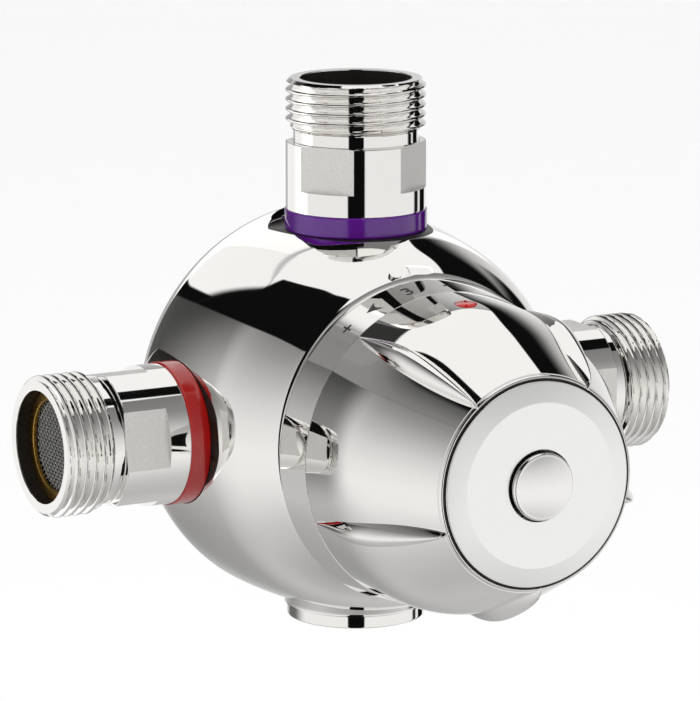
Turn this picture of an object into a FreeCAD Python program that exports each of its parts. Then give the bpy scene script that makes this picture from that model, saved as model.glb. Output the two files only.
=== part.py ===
import FreeCAD, Part
import Sketcher

import math
import os
import re
import sys

# Three-port mixing valve with a chrome body, three screwed unions and a ribbed turning knob.
# Millimetres, +Z up, knob towards -Y, hot inlet towards -X, cold inlet towards +X.
# The origin is the middle of the rim of the mixed outlet, which stands on top.

doc = FreeCAD.newDocument("MixingValve")
sizes = doc.addObject("Spreadsheet::Sheet", "Sizes")

# Driving dimensions, in millimetres, degrees or plain counts.
DIMENSIONS = {
    # Valve body: a turned ovoid, lying along the knob axis
    "body_radius": 38.5,
    "body_lift": 0.9,
    "widest_back": 8.2,
    "rear_round": 16.3,
    "rear_turn": 50.0,
    "side_round": 144.0,
    "side_turn": 8.4,
    "shoulder_round": 29.0,
    "body_front": 28.2,
    "cartridge_bore": 17.0,
    "bore_floor": 20.0,
    "core_radius": 11.5,
    "core_floor": 27.5,
    "bonnet_radius": 20.0,
    "bonnet_seat": 17.0,
    # Ports: two inlets on one axis, outlet and plug on another that lies forward of it
    "outlet_forward": 3.0,
    "port_face": 36.1,
    "boss_radius": 13.6,
    "spot_radius": 16.6,
    "port_radius": 10.6,
    "port_floor": 26.0,
    "inlet_passage": 2.5,
    "inlet_slant": 12.5,
    "outlet_passage": 3.8,
    # Screwed union, measured outwards from the crossing of the ports
    "union_reach": 64.7,
    "thread_radius": 13.22,
    "thread_length": 9.6,
    "thread_chamfer": 0.9,
    "neck_radius": 11.75,
    "neck_length": 2.3,
    "barrel_radius": 13.2,
    "ring_height": 3.9,
    "wrench_width": 24.0,
    "flat_length": 8.6,
    "mouth_radius": 10.5,
    "mouth_depth": 3.4,
    "union_bore": 9.2,
    "throat_radius": 7.0,
    "throat_length": 10.8,
    "spigot_gap": 0.15,
    "spigot_end_gap": 1.0,
    "edge_break": 0.4,
    # Coloured ring between union and body, and the seals of the spigots
    "ring_proud": 0.25,
    "seal_section": 0.8,
    "seal_setback": 3.9,
    "groove_gap": 0.1,
    # Strainer in each inlet
    "strainer_thick": 0.8,
    "strainer_hole": 8.45,
    "mesh_thick": 0.4,
    # Non-return valve in each inlet
    "cage_length": 11.0,
    "cage_wall": 1.1,
    "cage_seat": 5.5,
    "cage_seat_thick": 2.0,
    "cage_floor": 1.5,
    "cage_slots": 4,
    "poppet_radius": 6.6,
    "poppet_thick": 1.6,
    "poppet_stem": 1.5,
    "check_spring_radius": 3.4,
    "check_wire": 0.3,
    # Blanking plug underneath
    "plug_head": 2.5,
    "plug_radius": 13.1,
    "plug_socket": 10.0,
    "plug_socket_depth": 5.0,
    # Index stud on the body, behind the knob
    "stud_radius": 1.2,
    "stud_height": 0.7,
    "stud_depth": 3.0,
    "stud_forward": 26.9,
    "stud_turn": 9.3,
    # Cartridge: sleeve, seat, shuttle and sensing element
    "fit_gap": 0.06,
    "sleeve_gap": 0.1,
    "belt_depth": 2.4,
    "sleeve_bore": 12.1,
    "sleeve_end": 3.0,
    "sleeve_end_hole": 4.6,
    "hot_belt": 9.8,
    "mixed_belt": 11.0,
    "cold_belt": 5.4,
    "belt_land": 3.2,
    "inlet_window": 1.9,
    "mixed_window": 2.8,
    "windows": 4,
    "seat_gap": 1.2,
    "seat_nose": 11.3,
    "seat_hole": 9.2,
    "seat_base": 1.5,
    "shuttle_back": 9.0,
    "shuttle_front": 9.6,
    "shuttle_wall": 1.6,
    "web_back": 5.0,
    "web_thick": 2.0,
    "web_holes": 6,
    "web_hole_radius": 1.3,
    "element_radius": 3.9,
    "element_length": 11.0,
    "element_flange": 5.6,
    "element_head": 3.2,
    "element_head_top": 5.0,
    "piston_radius": 1.3,
    "piston_top": 12.0,
    "return_spring_radius": 6.6,
    "return_wire": 0.6,
    # Overload cup between the element and the spindle
    "cup_back": 12.6,
    "cup_front": 25.4,
    "cup_floor": 1.5,
    "cup_bore": 6.6,
    "plunger_stem": 2.0,
    "plunger_thick": 1.5,
    "overload_spring_radius": 4.9,
    "overload_wire": 0.55,
    "clip_seat": 20.8,
    "clip_thick": 0.7,
    "clip_depth": 0.6,
    # Bonnet nut and spindle
    "bonnet_top": 32.0,
    "bonnet_roof": 4.4,
    "bonnet_flange": 3.0,
    "bonnet_hexagon": 28.0,
    "bonnet_neck": 10.6,
    "spindle_radius": 5.0,
    "spindle_plug_back": 22.8,
    "spindle_top": 48.0,
    "spline_radius": 4.6,
    "spline_start": 35.0,
    "spindle_seal": 0.7,
    "stop_thick": 2.2,
    "stop_wall": 2.4,
    "stop_lug": 2.4,
    "stop_lug_width": 6.0,
    # Knob: rear band, ribbed crown, inner web and front recess
    "knob_back": 28.8,
    "rim_radius": 30.5,
    "rim_round": 0.8,
    "band_radius": 29.4,
    "band_front": 37.5,
    "crown_front": 69.6,
    "crown_edge_radius": 19.6,
    "crown_bulge": 0.4,
    "ribs": 5,
    "first_rib": -39.1,
    "rib_half": 5.3,
    "rib_rise": 2.4,
    "knob_wall": 2.4,
    "hollow_middle": 25.6,
    "hollow_end": 22.8,
    "web_seat": 52.5,
    "knob_web": 2.5,
    "web_bore": 5.0,
    "knob_cavity": 16.5,
    "cap_seat": 66.6,
    # Hub and screw that hold the knob on the spindle
    "hub_back": 34.5,
    "hub_radius": 8.8,
    "hub_flange": 17.0,
    "hub_flange_thick": 3.0,
    "hub_lug_back": 28.8,
    "hub_lug_radius": 15.2,
    "screw_radius": 1.95,
    "screw_head": 3.4,
    "screw_head_height": 2.4,
    "screw_length": 18.0,
    # Front cap and push button
    "cap_radius": 18.7,
    "cap_edge_front": 70.3,
    "cap_face_front": 71.0,
    "cap_bevel_inner": 15.0,
    "cap_bevel_outer": 18.3,
    "cap_plate": 2.2,
    "guide_back": 62.0,
    "guide_radius": 8.6,
    "button_hole": 6.55,
    "button_radius": 6.15,
    "button_face": 72.3,
    "button_crown": 1.1,
    "button_round": 0.5,
    "button_flange": 7.6,
    "button_flange_thick": 1.5,
    "button_spring_radius": 6.0,
    "button_wire": 0.4,
    # Enamelled index dot, let into the crown
    "dot_radius": 2.1,
    "dot_depth": 0.9,
    "dot_forward": 46.2,
    "dot_turn": -2.2,
}

for row, (name, value) in enumerate(DIMENSIONS.items(), start=1):
    sizes.set("A%d" % row, name)
    sizes.set("B%d" % row, str(value))
    sizes.setAlias("B%d" % row, name)
doc.recompute()

X_AXIS = FreeCAD.Vector(1, 0, 0)
Y_AXIS = FreeCAD.Vector(0, 1, 0)
Z_AXIS = FreeCAD.Vector(0, 0, 1)


def bound(formula):
    """The formula with each dimension's name led by the sheet's name."""
    return re.sub(r"\b([a-z]\w*_\w+|ribs|windows)\b", r"Sizes.\1", formula)


def worth(formula):
    """The formula's value, from the sheet."""
    return float(sizes.evalExpression(bound(formula)))


# Directions of the pieces: each is modelled along its own Z, from the crossing of the ports
TOWARDS = {
    "knob": FreeCAD.Rotation(X_AXIS, 90),
    "hot": FreeCAD.Rotation(Y_AXIS, -90),
    "cold": FreeCAD.Rotation(Y_AXIS, 90),
    "outlet": FreeCAD.Rotation(),
    "plug": FreeCAD.Rotation(X_AXIS, 180),
}


def place(piece, way):
    """Turns a piece from its own Z to its way, and sets it on the crossing."""
    on_inlets = way in ("knob", "hot", "cold")
    forward = worth("outlet_forward") if on_inlets else 0.0
    piece.Placement = FreeCAD.Placement(
        FreeCAD.Vector(0, forward, -worth("union_reach")), TOWARDS[way])
    piece.setExpression("Placement.Base.y", bound("outlet_forward") if on_inlets else "0")
    piece.setExpression("Placement.Base.z", bound("-union_reach"))


def new_body(name, way):
    body = doc.addObject("PartDesign::Body", name)
    body.Label = name
    place(body, way)
    return body


def origin_plane(body, role):
    return next(o for o in body.Origin.OriginFeatures if o.Role == role)


def new_sketch(body, name, role, lift=None):
    """An empty sketch on one of the body's own planes, lifted along its normal."""
    sketch = body.newObject("Sketcher::SketchObject", name)
    sketch.AttachmentSupport = [(origin_plane(body, role), "")]
    sketch.MapMode = "FlatFace"
    if lift is not None:
        sketch.AttachmentOffset = FreeCAD.Placement(
            FreeCAD.Vector(0, 0, worth(lift)), FreeCAD.Rotation())
        sketch.setExpression("AttachmentOffset.Base.z", bound(lift))
    return sketch


def pin_point(sketch, edge, end, across, up):
    """Ties one end of an edge to two formulas."""
    spot = sketch.getPoint(edge, end)
    wide = sketch.addConstraint(Sketcher.Constraint("DistanceX", -1, 1, edge, end, spot.x))
    sketch.setExpression("Constraints[%d]" % wide, bound(across))
    high = sketch.addConstraint(Sketcher.Constraint("DistanceY", -1, 1, edge, end, spot.y))
    sketch.setExpression("Constraints[%d]" % high, bound(up))


def round_edge(start, end, radius):
    """An arc from start to end; a positive radius has its centre left of the way."""
    chord = end - start
    left = FreeCAD.Vector(-chord.y, chord.x, 0).normalize()
    reach = math.sqrt(max(radius * radius - chord.Length ** 2 / 4, 0.0))
    centre = (start + end) * 0.5 + left * math.copysign(reach, radius)
    first, last = (start, end) if radius > 0 else (end, start)
    angles = [math.atan2(p.y - centre.y, p.x - centre.x) for p in (first, last)]
    if angles[1] < angles[0]:
        angles[1] += 2 * math.pi
    return Part.ArcOfCircle(Part.Circle(centre, Z_AXIS, abs(radius)), *angles)


def draw_outline(sketch, outline):
    """A closed outline of (across, up) or (across, up, radius of the next edge)."""
    spots = [FreeCAD.Vector(worth(p[0]), worth(p[1]), 0) for p in outline]
    count = len(spots)
    ends = []
    for i, point in enumerate(outline):
        start, end = spots[i], spots[(i + 1) % count]
        if len(point) == 3:
            radius = worth(point[2])
            edge = sketch.addGeometry(round_edge(start, end, radius), False)
            ends.append((edge, 1, 2) if radius > 0 else (edge, 2, 1))
        else:
            edge = sketch.addGeometry(Part.LineSegment(start, end), False)
            ends.append((edge, 1, 2))
    for i in range(count):
        edge, _, end = ends[i]
        following, start, _ = ends[(i + 1) % count]
        sketch.addConstraint(Sketcher.Constraint("Coincident", edge, end, following, start))
    for (edge, start, _), point in zip(ends, outline):
        pin_point(sketch, edge, start, point[0], point[1])
        if len(point) == 3:
            radius = sketch.addConstraint(
                Sketcher.Constraint("Radius", edge, abs(worth(point[2]))))
            sketch.setExpression("Constraints[%d]" % radius, bound("abs(%s)" % point[2]))


def draw_circle(sketch, across, up, radius):
    spot = FreeCAD.Vector(worth(across), worth(up), 0)
    edge = sketch.addGeometry(Part.Circle(spot, Z_AXIS, worth(radius)), False)
    size = sketch.addConstraint(Sketcher.Constraint("Radius", edge, worth(radius)))
    sketch.setExpression("Constraints[%d]" % size, bound(radius))
    pin_point(sketch, edge, 3, across, up)


def turn(body, name, outline, cut=False, lift=None):
    """Turns an outline of (radius, height) about the body's own Z, or beside it if lifted."""
    sketch = new_sketch(body, name + "Outline", "XZ_Plane", lift)
    draw_outline(sketch, outline)
    kind = "PartDesign::Groove" if cut else "PartDesign::Revolution"
    feature = body.newObject(kind, name)
    feature.Profile = sketch
    feature.ReferenceAxis = (sketch, ["V_Axis"])
    feature.Angle = 360
    body.Tip = feature
    return feature


def pocket_away(body, name, sketch, length, outwards):
    """Cuts a sketch's outline over a length, along or against the sketch's normal."""
    pocket = body.newObject("PartDesign::Pocket", name)
    pocket.Profile = sketch
    pocket.Length = worth(length)
    pocket.setExpression("Length", bound(length))
    pocket.Reversed = outwards
    body.Tip = pocket
    return pocket


def repeat_round(body, name, feature, count):
    """Repeats a feature round the body's own Z."""
    pattern = body.newObject("PartDesign::PolarPattern", name)
    pattern.Originals = [feature]
    pattern.Axis = (next(o for o in body.Origin.OriginFeatures if o.Role == "Z_Axis"), [""])
    pattern.Angle = 360
    pattern.Occurrences = int(worth(count))
    pattern.setExpression("Occurrences", bound(count))
    body.Tip = pattern
    return pattern


def coil(name, way, back, front, radius, wire, turns):
    """A round-wire spring between two heights."""
    body = new_body(name, way)
    sketch = new_sketch(body, name + "Wire", "XZ_Plane")
    draw_circle(sketch, radius, "%s + %s" % (back, wire), wire)
    spring = body.newObject("PartDesign::AdditiveHelix", name + "Coil")
    spring.Profile = sketch
    spring.ReferenceAxis = (sketch, ["V_Axis"])
    spring.Mode = 2
    height = "%s - (%s) - 2 * %s" % (front, back, wire)
    spring.Height = worth(height)
    spring.setExpression("Height", bound(height))
    spring.Turns = turns
    body.Tip = spring
    return body


def o_rings(name, way, radius, section, heights):
    """Round seals of one size, at each of the heights."""
    rings = []
    for number, height in enumerate(heights, start=1):
        ring = doc.addObject("Part::Torus", "%sRing%d" % (name, number))
        ring.Radius1 = worth(radius)
        ring.setExpression("Radius1", bound(radius))
        ring.Radius2 = worth(section)
        ring.setExpression("Radius2", bound(section))
        ring.Placement.Base.z = worth(height)
        ring.setExpression("Placement.Base.z", bound(height))
        rings.append(ring)
    group = doc.addObject("Part::Compound", name)
    group.Label = name
    group.Links = rings
    place(group, way)
    return group


nodes = []


def keep(piece):
    nodes.append(piece)
    return piece


# Valve body: cast and turned brass, one piece, chromium plated. Its outline runs from the
# middle of the domed back over the widest circle and a round shoulder to the front face.
REAR_INNER = "(body_radius - rear_round)"
DOME_RADIUS = "(%s / cos(rear_turn * 1 deg) + rear_round)" % REAR_INNER
DOME_BACK = "(-widest_back + %s * tan(rear_turn * 1 deg) - %s)" % (REAR_INNER, DOME_RADIUS)
SIDE_END_RADIUS = "(body_radius - side_round * (1 - cos(side_turn * 1 deg)))"
SIDE_END = "(-widest_back + side_round * sin(side_turn * 1 deg))"
SHOULDER_MIDDLE_RADIUS = "(%s - shoulder_round * cos(side_turn * 1 deg))" % SIDE_END_RADIUS
SHOULDER_MIDDLE = "(%s - shoulder_round * sin(side_turn * 1 deg))" % SIDE_END


def shoulder_radius(forward):
    """The radius of the body's round shoulder at a distance forward of the crossing."""
    rise = "(%s - %s)" % (forward, SHOULDER_MIDDLE)
    return "(%s + sqrt(shoulder_round^2 - %s^2))" % (SHOULDER_MIDDLE_RADIUS, rise)


def make_valve_body():
    body = keep(new_body("valve_body", "knob"))
    turn(body, "Ovoid", [
        ("0", DOME_BACK, DOME_RADIUS),
        (REAR_INNER + " + rear_round * cos(rear_turn * 1 deg)",
         "-widest_back - rear_round * sin(rear_turn * 1 deg)", "rear_round"),
        ("body_radius", "-widest_back", "side_round"),
        (SIDE_END_RADIUS, SIDE_END, "shoulder_round"),
        (shoulder_radius("body_front"), "body_front"),
        ("0", "body_front"),
    ], lift="-body_lift")
    inlets = new_sketch(body, "InletBossCircle", "YZ_Plane")
    draw_circle(inlets, "0", "0", "boss_radius")
    upright = new_sketch(body, "OutletBossCircle", "XZ_Plane")
    draw_circle(upright, "0", "outlet_forward", "boss_radius")
    for name, sketch in (("InletBosses", inlets), ("OutletBosses", upright)):
        boss = body.newObject("PartDesign::Pad", name)
        boss.Profile = sketch
        boss.Midplane = True
        boss.Length = worth("2 * port_face")
        boss.setExpression("Length", bound("2 * port_face"))
        body.Tip = boss
    turn(body, "CartridgeBore", [
        ("0", "-core_floor"),
        ("core_radius", "-core_floor"),
        ("core_radius", "-bore_floor"),
        ("cartridge_bore", "-bore_floor"),
        ("cartridge_bore", "bonnet_seat"),
        ("bonnet_radius", "bonnet_seat"),
        ("bonnet_radius", "body_front + 1"),
        ("0", "body_front + 1"),
    ], cut=True)
    ports = [
        ("Cold", "YZ_Plane", "0", "0", True, "inlet_slant"),
        ("Hot", "YZ_Plane", "0", "0", False, "-inlet_slant"),
        ("Plug", "XZ_Plane", "0", "outlet_forward", True, None),
        ("Outlet", "XZ_Plane", "0", "outlet_forward", False, None),
    ]
    for name, plane, across, up, along, slant in ports:
        sign = "" if along else "-"
        face = new_sketch(body, name + "FaceCircle", plane, sign + "port_face")
        draw_circle(face, across, up, "spot_radius")
        pocket_away(body, name + "SpotFace", face, "body_radius - port_face + 3", along)
        floor = new_sketch(body, name + "PortCircle", plane, sign + "port_floor")
        draw_circle(floor, across, up, "port_radius")
        pocket_away(body, name + "Port", floor, "body_radius - port_floor + 3", along)
        if slant is None:
            way_in = new_sketch(body, name + "PassageCircle", plane, sign + "port_floor")
            draw_circle(way_in, across, up, "outlet_passage")
            pocket_away(body, name + "Passage", way_in,
                        "port_floor - cartridge_bore + outlet_passage", not along)
        else:
            side = 1 if along else -1
            drop = worth("port_floor - cartridge_bore")
            lean = side * math.degrees(math.atan2(worth(slant), drop))
            drill = body.newObject("PartDesign::SubtractiveCylinder", name + "Passage")
            drill.Radius = worth("inlet_passage")
            drill.setExpression("Radius", bound("inlet_passage"))
            drill.Height = math.hypot(drop, worth(slant)) + worth("inlet_passage")
            drill.AttachmentSupport = [(origin_plane(body, "XY_Plane"), "")]
            drill.MapMode = "FlatFace"
            drill.AttachmentOffset = FreeCAD.Placement(
                FreeCAD.Vector(side * worth("port_floor"), 0, 0),
                FreeCAD.Rotation(Y_AXIS, -side * 90 + lean))
            body.Tip = drill
    hole = new_sketch(body, "StudHoleCircle", "XY_Plane")
    hole.AttachmentOffset = stud_seat()
    draw_circle(hole, "0", "0", "stud_radius")
    pocket_away(body, "StudHole", hole, "stud_depth + 2", True)


def surface_seat(radius, forward, turned, slope, depth):
    """A seat square to a turned surface, with its own Z outwards, sunk by a depth."""
    lean = math.atan(slope)
    turned = math.radians(turned)
    outwards = FreeCAD.Vector(
        math.sin(turned) * math.cos(lean), math.cos(turned) * math.cos(lean), math.sin(lean))
    spot = FreeCAD.Vector(radius * math.sin(turned), radius * math.cos(turned), forward)
    return FreeCAD.Placement(spot - outwards * depth, FreeCAD.Rotation(Z_AXIS, outwards))


def stud_seat():
    """The seat of the index stud on the front curve of the body."""
    radius = worth(shoulder_radius("stud_forward"))
    rise = worth("stud_forward - " + SHOULDER_MIDDLE)
    run = radius - worth(SHOULDER_MIDDLE_RADIUS)
    seat = surface_seat(radius, worth("stud_forward"), -worth("stud_turn"), rise / run,
                        worth("stud_depth"))
    seat.Base.y += worth("body_lift")
    return seat


def make_index_stud():
    stud = keep(new_body("index_stud", "knob"))
    sketch = new_sketch(stud, "StudCircle", "XY_Plane")
    sketch.AttachmentOffset = stud_seat()
    draw_circle(sketch, "0", "0", "stud_radius")
    pin = stud.newObject("PartDesign::Pad", "StudPin")
    pin.Profile = sketch
    pin.Length = worth("stud_depth + stud_height")
    pin.setExpression("Length", bound("stud_depth + stud_height"))
    stud.Tip = pin


# Screwed unions: turned brass, chromium plated, with a pipe thread, four wrench flats and
# a spigot that screws into the port. The inlets hold a strainer and a non-return valve.
SHOULDER = "(port_face + ring_height)"
BARREL_TOP = "(union_reach - thread_length - neck_length)"
SPIGOT = "(port_radius - spigot_gap)"
SPIGOT_END = "(port_floor + spigot_end_gap)"
GROOVE = "(port_radius - 2 * seal_section - groove_gap)"
SEAL_HEIGHT = "(port_face - seal_setback)"
BORE_FLOOR = "(spigot_end_gap + port_floor + throat_length)"


def spigot_outline(inner):
    """The spigot from its end to the port face, with the groove of its seal."""
    return [
        (inner, SPIGOT_END),
        (SPIGOT, SPIGOT_END),
        (SPIGOT, SEAL_HEIGHT + " - seal_section - groove_gap"),
        (GROOVE, SEAL_HEIGHT + " - seal_section - groove_gap"),
        (GROOVE, SEAL_HEIGHT + " + seal_section + groove_gap"),
        (SPIGOT, SEAL_HEIGHT + " + seal_section + groove_gap"),
    ]


def make_union(way):
    body = keep(new_body(way + "_union", way))
    turn(body, "UnionTurning", spigot_outline("throat_radius") + [
        (SPIGOT, SHOULDER),
        ("barrel_radius - edge_break", SHOULDER),
        ("barrel_radius", SHOULDER + " + edge_break"),
        ("barrel_radius", BARREL_TOP + " - edge_break"),
        ("barrel_radius - edge_break", BARREL_TOP),
        ("neck_radius", BARREL_TOP),
        ("neck_radius", "union_reach - thread_length - edge_break"),
        ("thread_radius", "union_reach - thread_length + edge_break"),
        ("thread_radius", "union_reach - thread_chamfer"),
        ("thread_radius - thread_chamfer", "union_reach"),
        ("mouth_radius", "union_reach"),
        ("mouth_radius", "union_reach - mouth_depth"),
        ("union_bore", "union_reach - mouth_depth"),
        ("union_bore", BORE_FLOOR),
        ("throat_radius", BORE_FLOOR),
    ])
    flat = new_sketch(body, "WrenchFlat", "XY_Plane", BARREL_TOP)
    draw_outline(flat, [
        ("wrench_width / 2", "-barrel_radius"),
        ("barrel_radius + 1", "-barrel_radius"),
        ("barrel_radius + 1", "barrel_radius"),
        ("wrench_width / 2", "barrel_radius"),
    ])
    first = pocket_away(body, "Flat", flat, "flat_length", False)
    wrench_turns = {"hot": 9.0, "cold": 0.0, "outlet": 35.0}
    flat.AttachmentOffset.Rotation = FreeCAD.Rotation(Z_AXIS, wrench_turns[way])
    pattern = repeat_round(body, "Flats", first, "4")
    return pattern


RING_RADIUS = "(barrel_radius + ring_proud)"


def make_ring(way):
    body = keep(new_body(way + "_ring", way))
    turn(body, "RingTurning", [
        ("port_radius", "port_face"),
        (RING_RADIUS + " - edge_break", "port_face"),
        (RING_RADIUS, "port_face + edge_break"),
        (RING_RADIUS, SHOULDER + " - edge_break"),
        (RING_RADIUS + " - edge_break", SHOULDER),
        ("port_radius", SHOULDER),
    ])


def make_seal(name, way):
    keep(o_rings(name, way, "port_radius - seal_section - groove_gap / 2",
                 "seal_section", [SEAL_HEIGHT]))


def make_plug():
    body = keep(new_body("blanking_plug", "plug"))
    turn(body, "PlugTurning", [("0", SPIGOT_END)] + spigot_outline("0")[1:] + [
        (SPIGOT, "port_face"),
        ("plug_radius", "port_face"),
        ("plug_radius", "port_face + plug_head - edge_break"),
        ("plug_radius - edge_break", "port_face + plug_head"),
        ("0", "port_face + plug_head"),
    ])
    socket = new_sketch(body, "SocketHexagon", "XY_Plane", "port_face + plug_head")
    draw_hexagon(socket, "plug_socket")
    pocket_away(body, "Socket", socket, "plug_socket_depth", False)


def draw_hexagon(sketch, width):
    corners = [("%s / sqrt(3) * cos(%d deg)" % (width, 60 * k),
                "%s / sqrt(3) * sin(%d deg)" % (width, 60 * k)) for k in range(6)]
    draw_outline(sketch, corners)


# Strainer of an inlet: a brass ring on the shelf of the mouth, with a woven disc under it
SHELF = "(union_reach - mouth_depth)"


def make_strainer(way):
    ring = keep(new_body(way + "_strainer_ring", way))
    turn(ring, "StrainerRing", [
        ("strainer_hole", SHELF),
        ("mouth_radius - fit_gap", SHELF),
        ("mouth_radius - fit_gap", SHELF + " + strainer_thick"),
        ("strainer_hole", SHELF + " + strainer_thick"),
    ])
    mesh = keep(new_body(way + "_strainer_mesh", way))
    turn(mesh, "MeshDisc", [
        ("0", SHELF + " - mesh_thick"),
        ("union_bore - fit_gap", SHELF + " - mesh_thick"),
        ("union_bore - fit_gap", SHELF),
        ("0", SHELF),
    ])


# Non-return valve of an inlet: a moulded cage, a sprung poppet that shuts outwards
CAGE_TOP = "(%s + cage_length)" % BORE_FLOOR
POPPET_TOP = "(%s - cage_seat_thick - fit_gap)" % CAGE_TOP
SPRING_FOOT = "(%s + cage_floor)" % BORE_FLOOR


def make_check_valve(way):
    cage = keep(new_body(way + "_check_cage", way))
    turn(cage, "CageTurning", [
        ("poppet_stem + fit_gap", BORE_FLOOR),
        ("union_bore - fit_gap", BORE_FLOOR),
        ("union_bore - fit_gap", CAGE_TOP),
        ("cage_seat", CAGE_TOP),
        ("cage_seat", CAGE_TOP + " - cage_seat_thick"),
        ("union_bore - fit_gap - cage_wall", CAGE_TOP + " - cage_seat_thick"),
        ("union_bore - fit_gap - cage_wall", SPRING_FOOT),
        ("poppet_stem + fit_gap", SPRING_FOOT),
    ])
    slot = new_sketch(cage, "CageSlotCircle", "XY_Plane", SPRING_FOOT)
    draw_circle(slot, "(throat_radius + check_spring_radius) / 2 + 0.4", "0",
                "(throat_radius - check_spring_radius) / 2 - 0.5")
    hole = pocket_away(cage, "CageSlot", slot, "cage_floor", False)
    repeat_round(cage, "CageSlots", hole, "cage_slots")

    poppet = keep(new_body(way + "_check_poppet", way))
    turn(poppet, "PoppetTurning", [
        ("0", BORE_FLOOR),
        ("poppet_stem", BORE_FLOOR),
        ("poppet_stem", POPPET_TOP + " - poppet_thick"),
        ("poppet_radius", POPPET_TOP + " - poppet_thick"),
        ("poppet_radius", POPPET_TOP),
        ("cage_seat - 1", POPPET_TOP),
        ("0", POPPET_TOP + " + 1"),
    ])
    keep(coil(way + "_check_spring", way, SPRING_FOOT, POPPET_TOP + " - poppet_thick",
              "check_spring_radius", "check_wire", 4))


# Cartridge: a brass sleeve with three belts of windows, cold in front, mixed in the middle
# and hot behind. Heights run forwards from the inlet axis.
SLEEVE = "(cartridge_bore - sleeve_gap)"
BELT = "(cartridge_bore - sleeve_gap - belt_depth)"
HOT_FRONT = "(-bore_floor + sleeve_end + hot_belt)"
MIXED_BACK = "(-bore_floor + sleeve_end + hot_belt + belt_land)"
MIXED_FRONT = "(-bore_floor + sleeve_end + hot_belt + belt_land + mixed_belt)"
COLD_BACK = "(-bore_floor + sleeve_end + hot_belt + 2 * belt_land + mixed_belt)"
COLD_FRONT = "(-bore_floor + sleeve_end + hot_belt + 2 * belt_land + mixed_belt + cold_belt)"
RING_GROOVE = "(cartridge_bore - sleeve_gap - 2 * seal_section)"
RING_SEATS = [
    "(-bore_floor + sleeve_end / 2)",
    "(%s + belt_land / 2)" % HOT_FRONT,
    "(%s + belt_land / 2)" % MIXED_FRONT,
]
HOT_SEAT = "(-shuttle_back - seat_gap)"
SEAT_LEDGE = "(-bore_floor + sleeve_end + 2.5)"


def grooved_land(back, front, seat):
    """A land of the sleeve from back to front, with the groove of its seal."""
    return [
        (SLEEVE, back),
        (SLEEVE, seat + " - seal_section - groove_gap"),
        (RING_GROOVE, seat + " - seal_section - groove_gap"),
        (RING_GROOVE, seat + " + seal_section + groove_gap"),
        (SLEEVE, seat + " + seal_section + groove_gap"),
        (SLEEVE, front),
    ]


def make_sleeve():
    sleeve = keep(new_body("cartridge_sleeve", "knob"))
    outline = [("sleeve_end_hole", "-bore_floor")]
    outline += grooved_land("-bore_floor", "-bore_floor + sleeve_end", RING_SEATS[0])
    outline += [(BELT, "-bore_floor + sleeve_end"), (BELT, HOT_FRONT)]
    outline += grooved_land(HOT_FRONT, MIXED_BACK, RING_SEATS[1])
    outline += [(BELT, MIXED_BACK), (BELT, MIXED_FRONT)]
    outline += grooved_land(MIXED_FRONT, COLD_BACK, RING_SEATS[2])
    outline += [
        (BELT, COLD_BACK),
        (BELT, COLD_FRONT),
        (SLEEVE, COLD_FRONT),
        (SLEEVE, "bonnet_seat"),
        ("sleeve_bore", "bonnet_seat"),
        ("sleeve_bore", SEAT_LEDGE),
        ("sleeve_bore - 1", SEAT_LEDGE),
        ("sleeve_bore - 1", "-bore_floor + sleeve_end"),
        ("sleeve_end_hole", "-bore_floor + sleeve_end"),
    ]
    turn(sleeve, "SleeveTurning", outline)
    windows = [
        ("Hot", "inlet_window", HOT_FRONT + " - inlet_window - 0.3"),
        ("Mixed", "mixed_window", "(%s + %s) / 2" % (MIXED_BACK, MIXED_FRONT)),
        ("Cold", "inlet_window", COLD_BACK + " + inlet_window + 0.3"),
    ]
    for name, radius, height in windows:
        circle = new_sketch(sleeve, name + "WindowCircle", "YZ_Plane")
        draw_circle(circle, "0", height, radius)
        hole = pocket_away(sleeve, name + "Window", circle, "cartridge_bore", True)
        repeat_round(sleeve, name + "Windows", hole, "windows")
    keep(o_rings("sleeve_seals", "knob", RING_GROOVE + " + seal_section + groove_gap / 2",
                 "seal_section", RING_SEATS))


def make_hot_seat():
    seat = keep(new_body("hot_seat", "knob"))
    turn(seat, "SeatTurning", [
        ("seat_hole", SEAT_LEDGE),
        ("sleeve_bore - fit_gap", SEAT_LEDGE),
        ("sleeve_bore - fit_gap", SEAT_LEDGE + " + seat_base"),
        ("seat_nose", SEAT_LEDGE + " + seat_base"),
        ("seat_nose", HOT_SEAT),
        ("seat_hole", HOT_SEAT),
    ])


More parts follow.
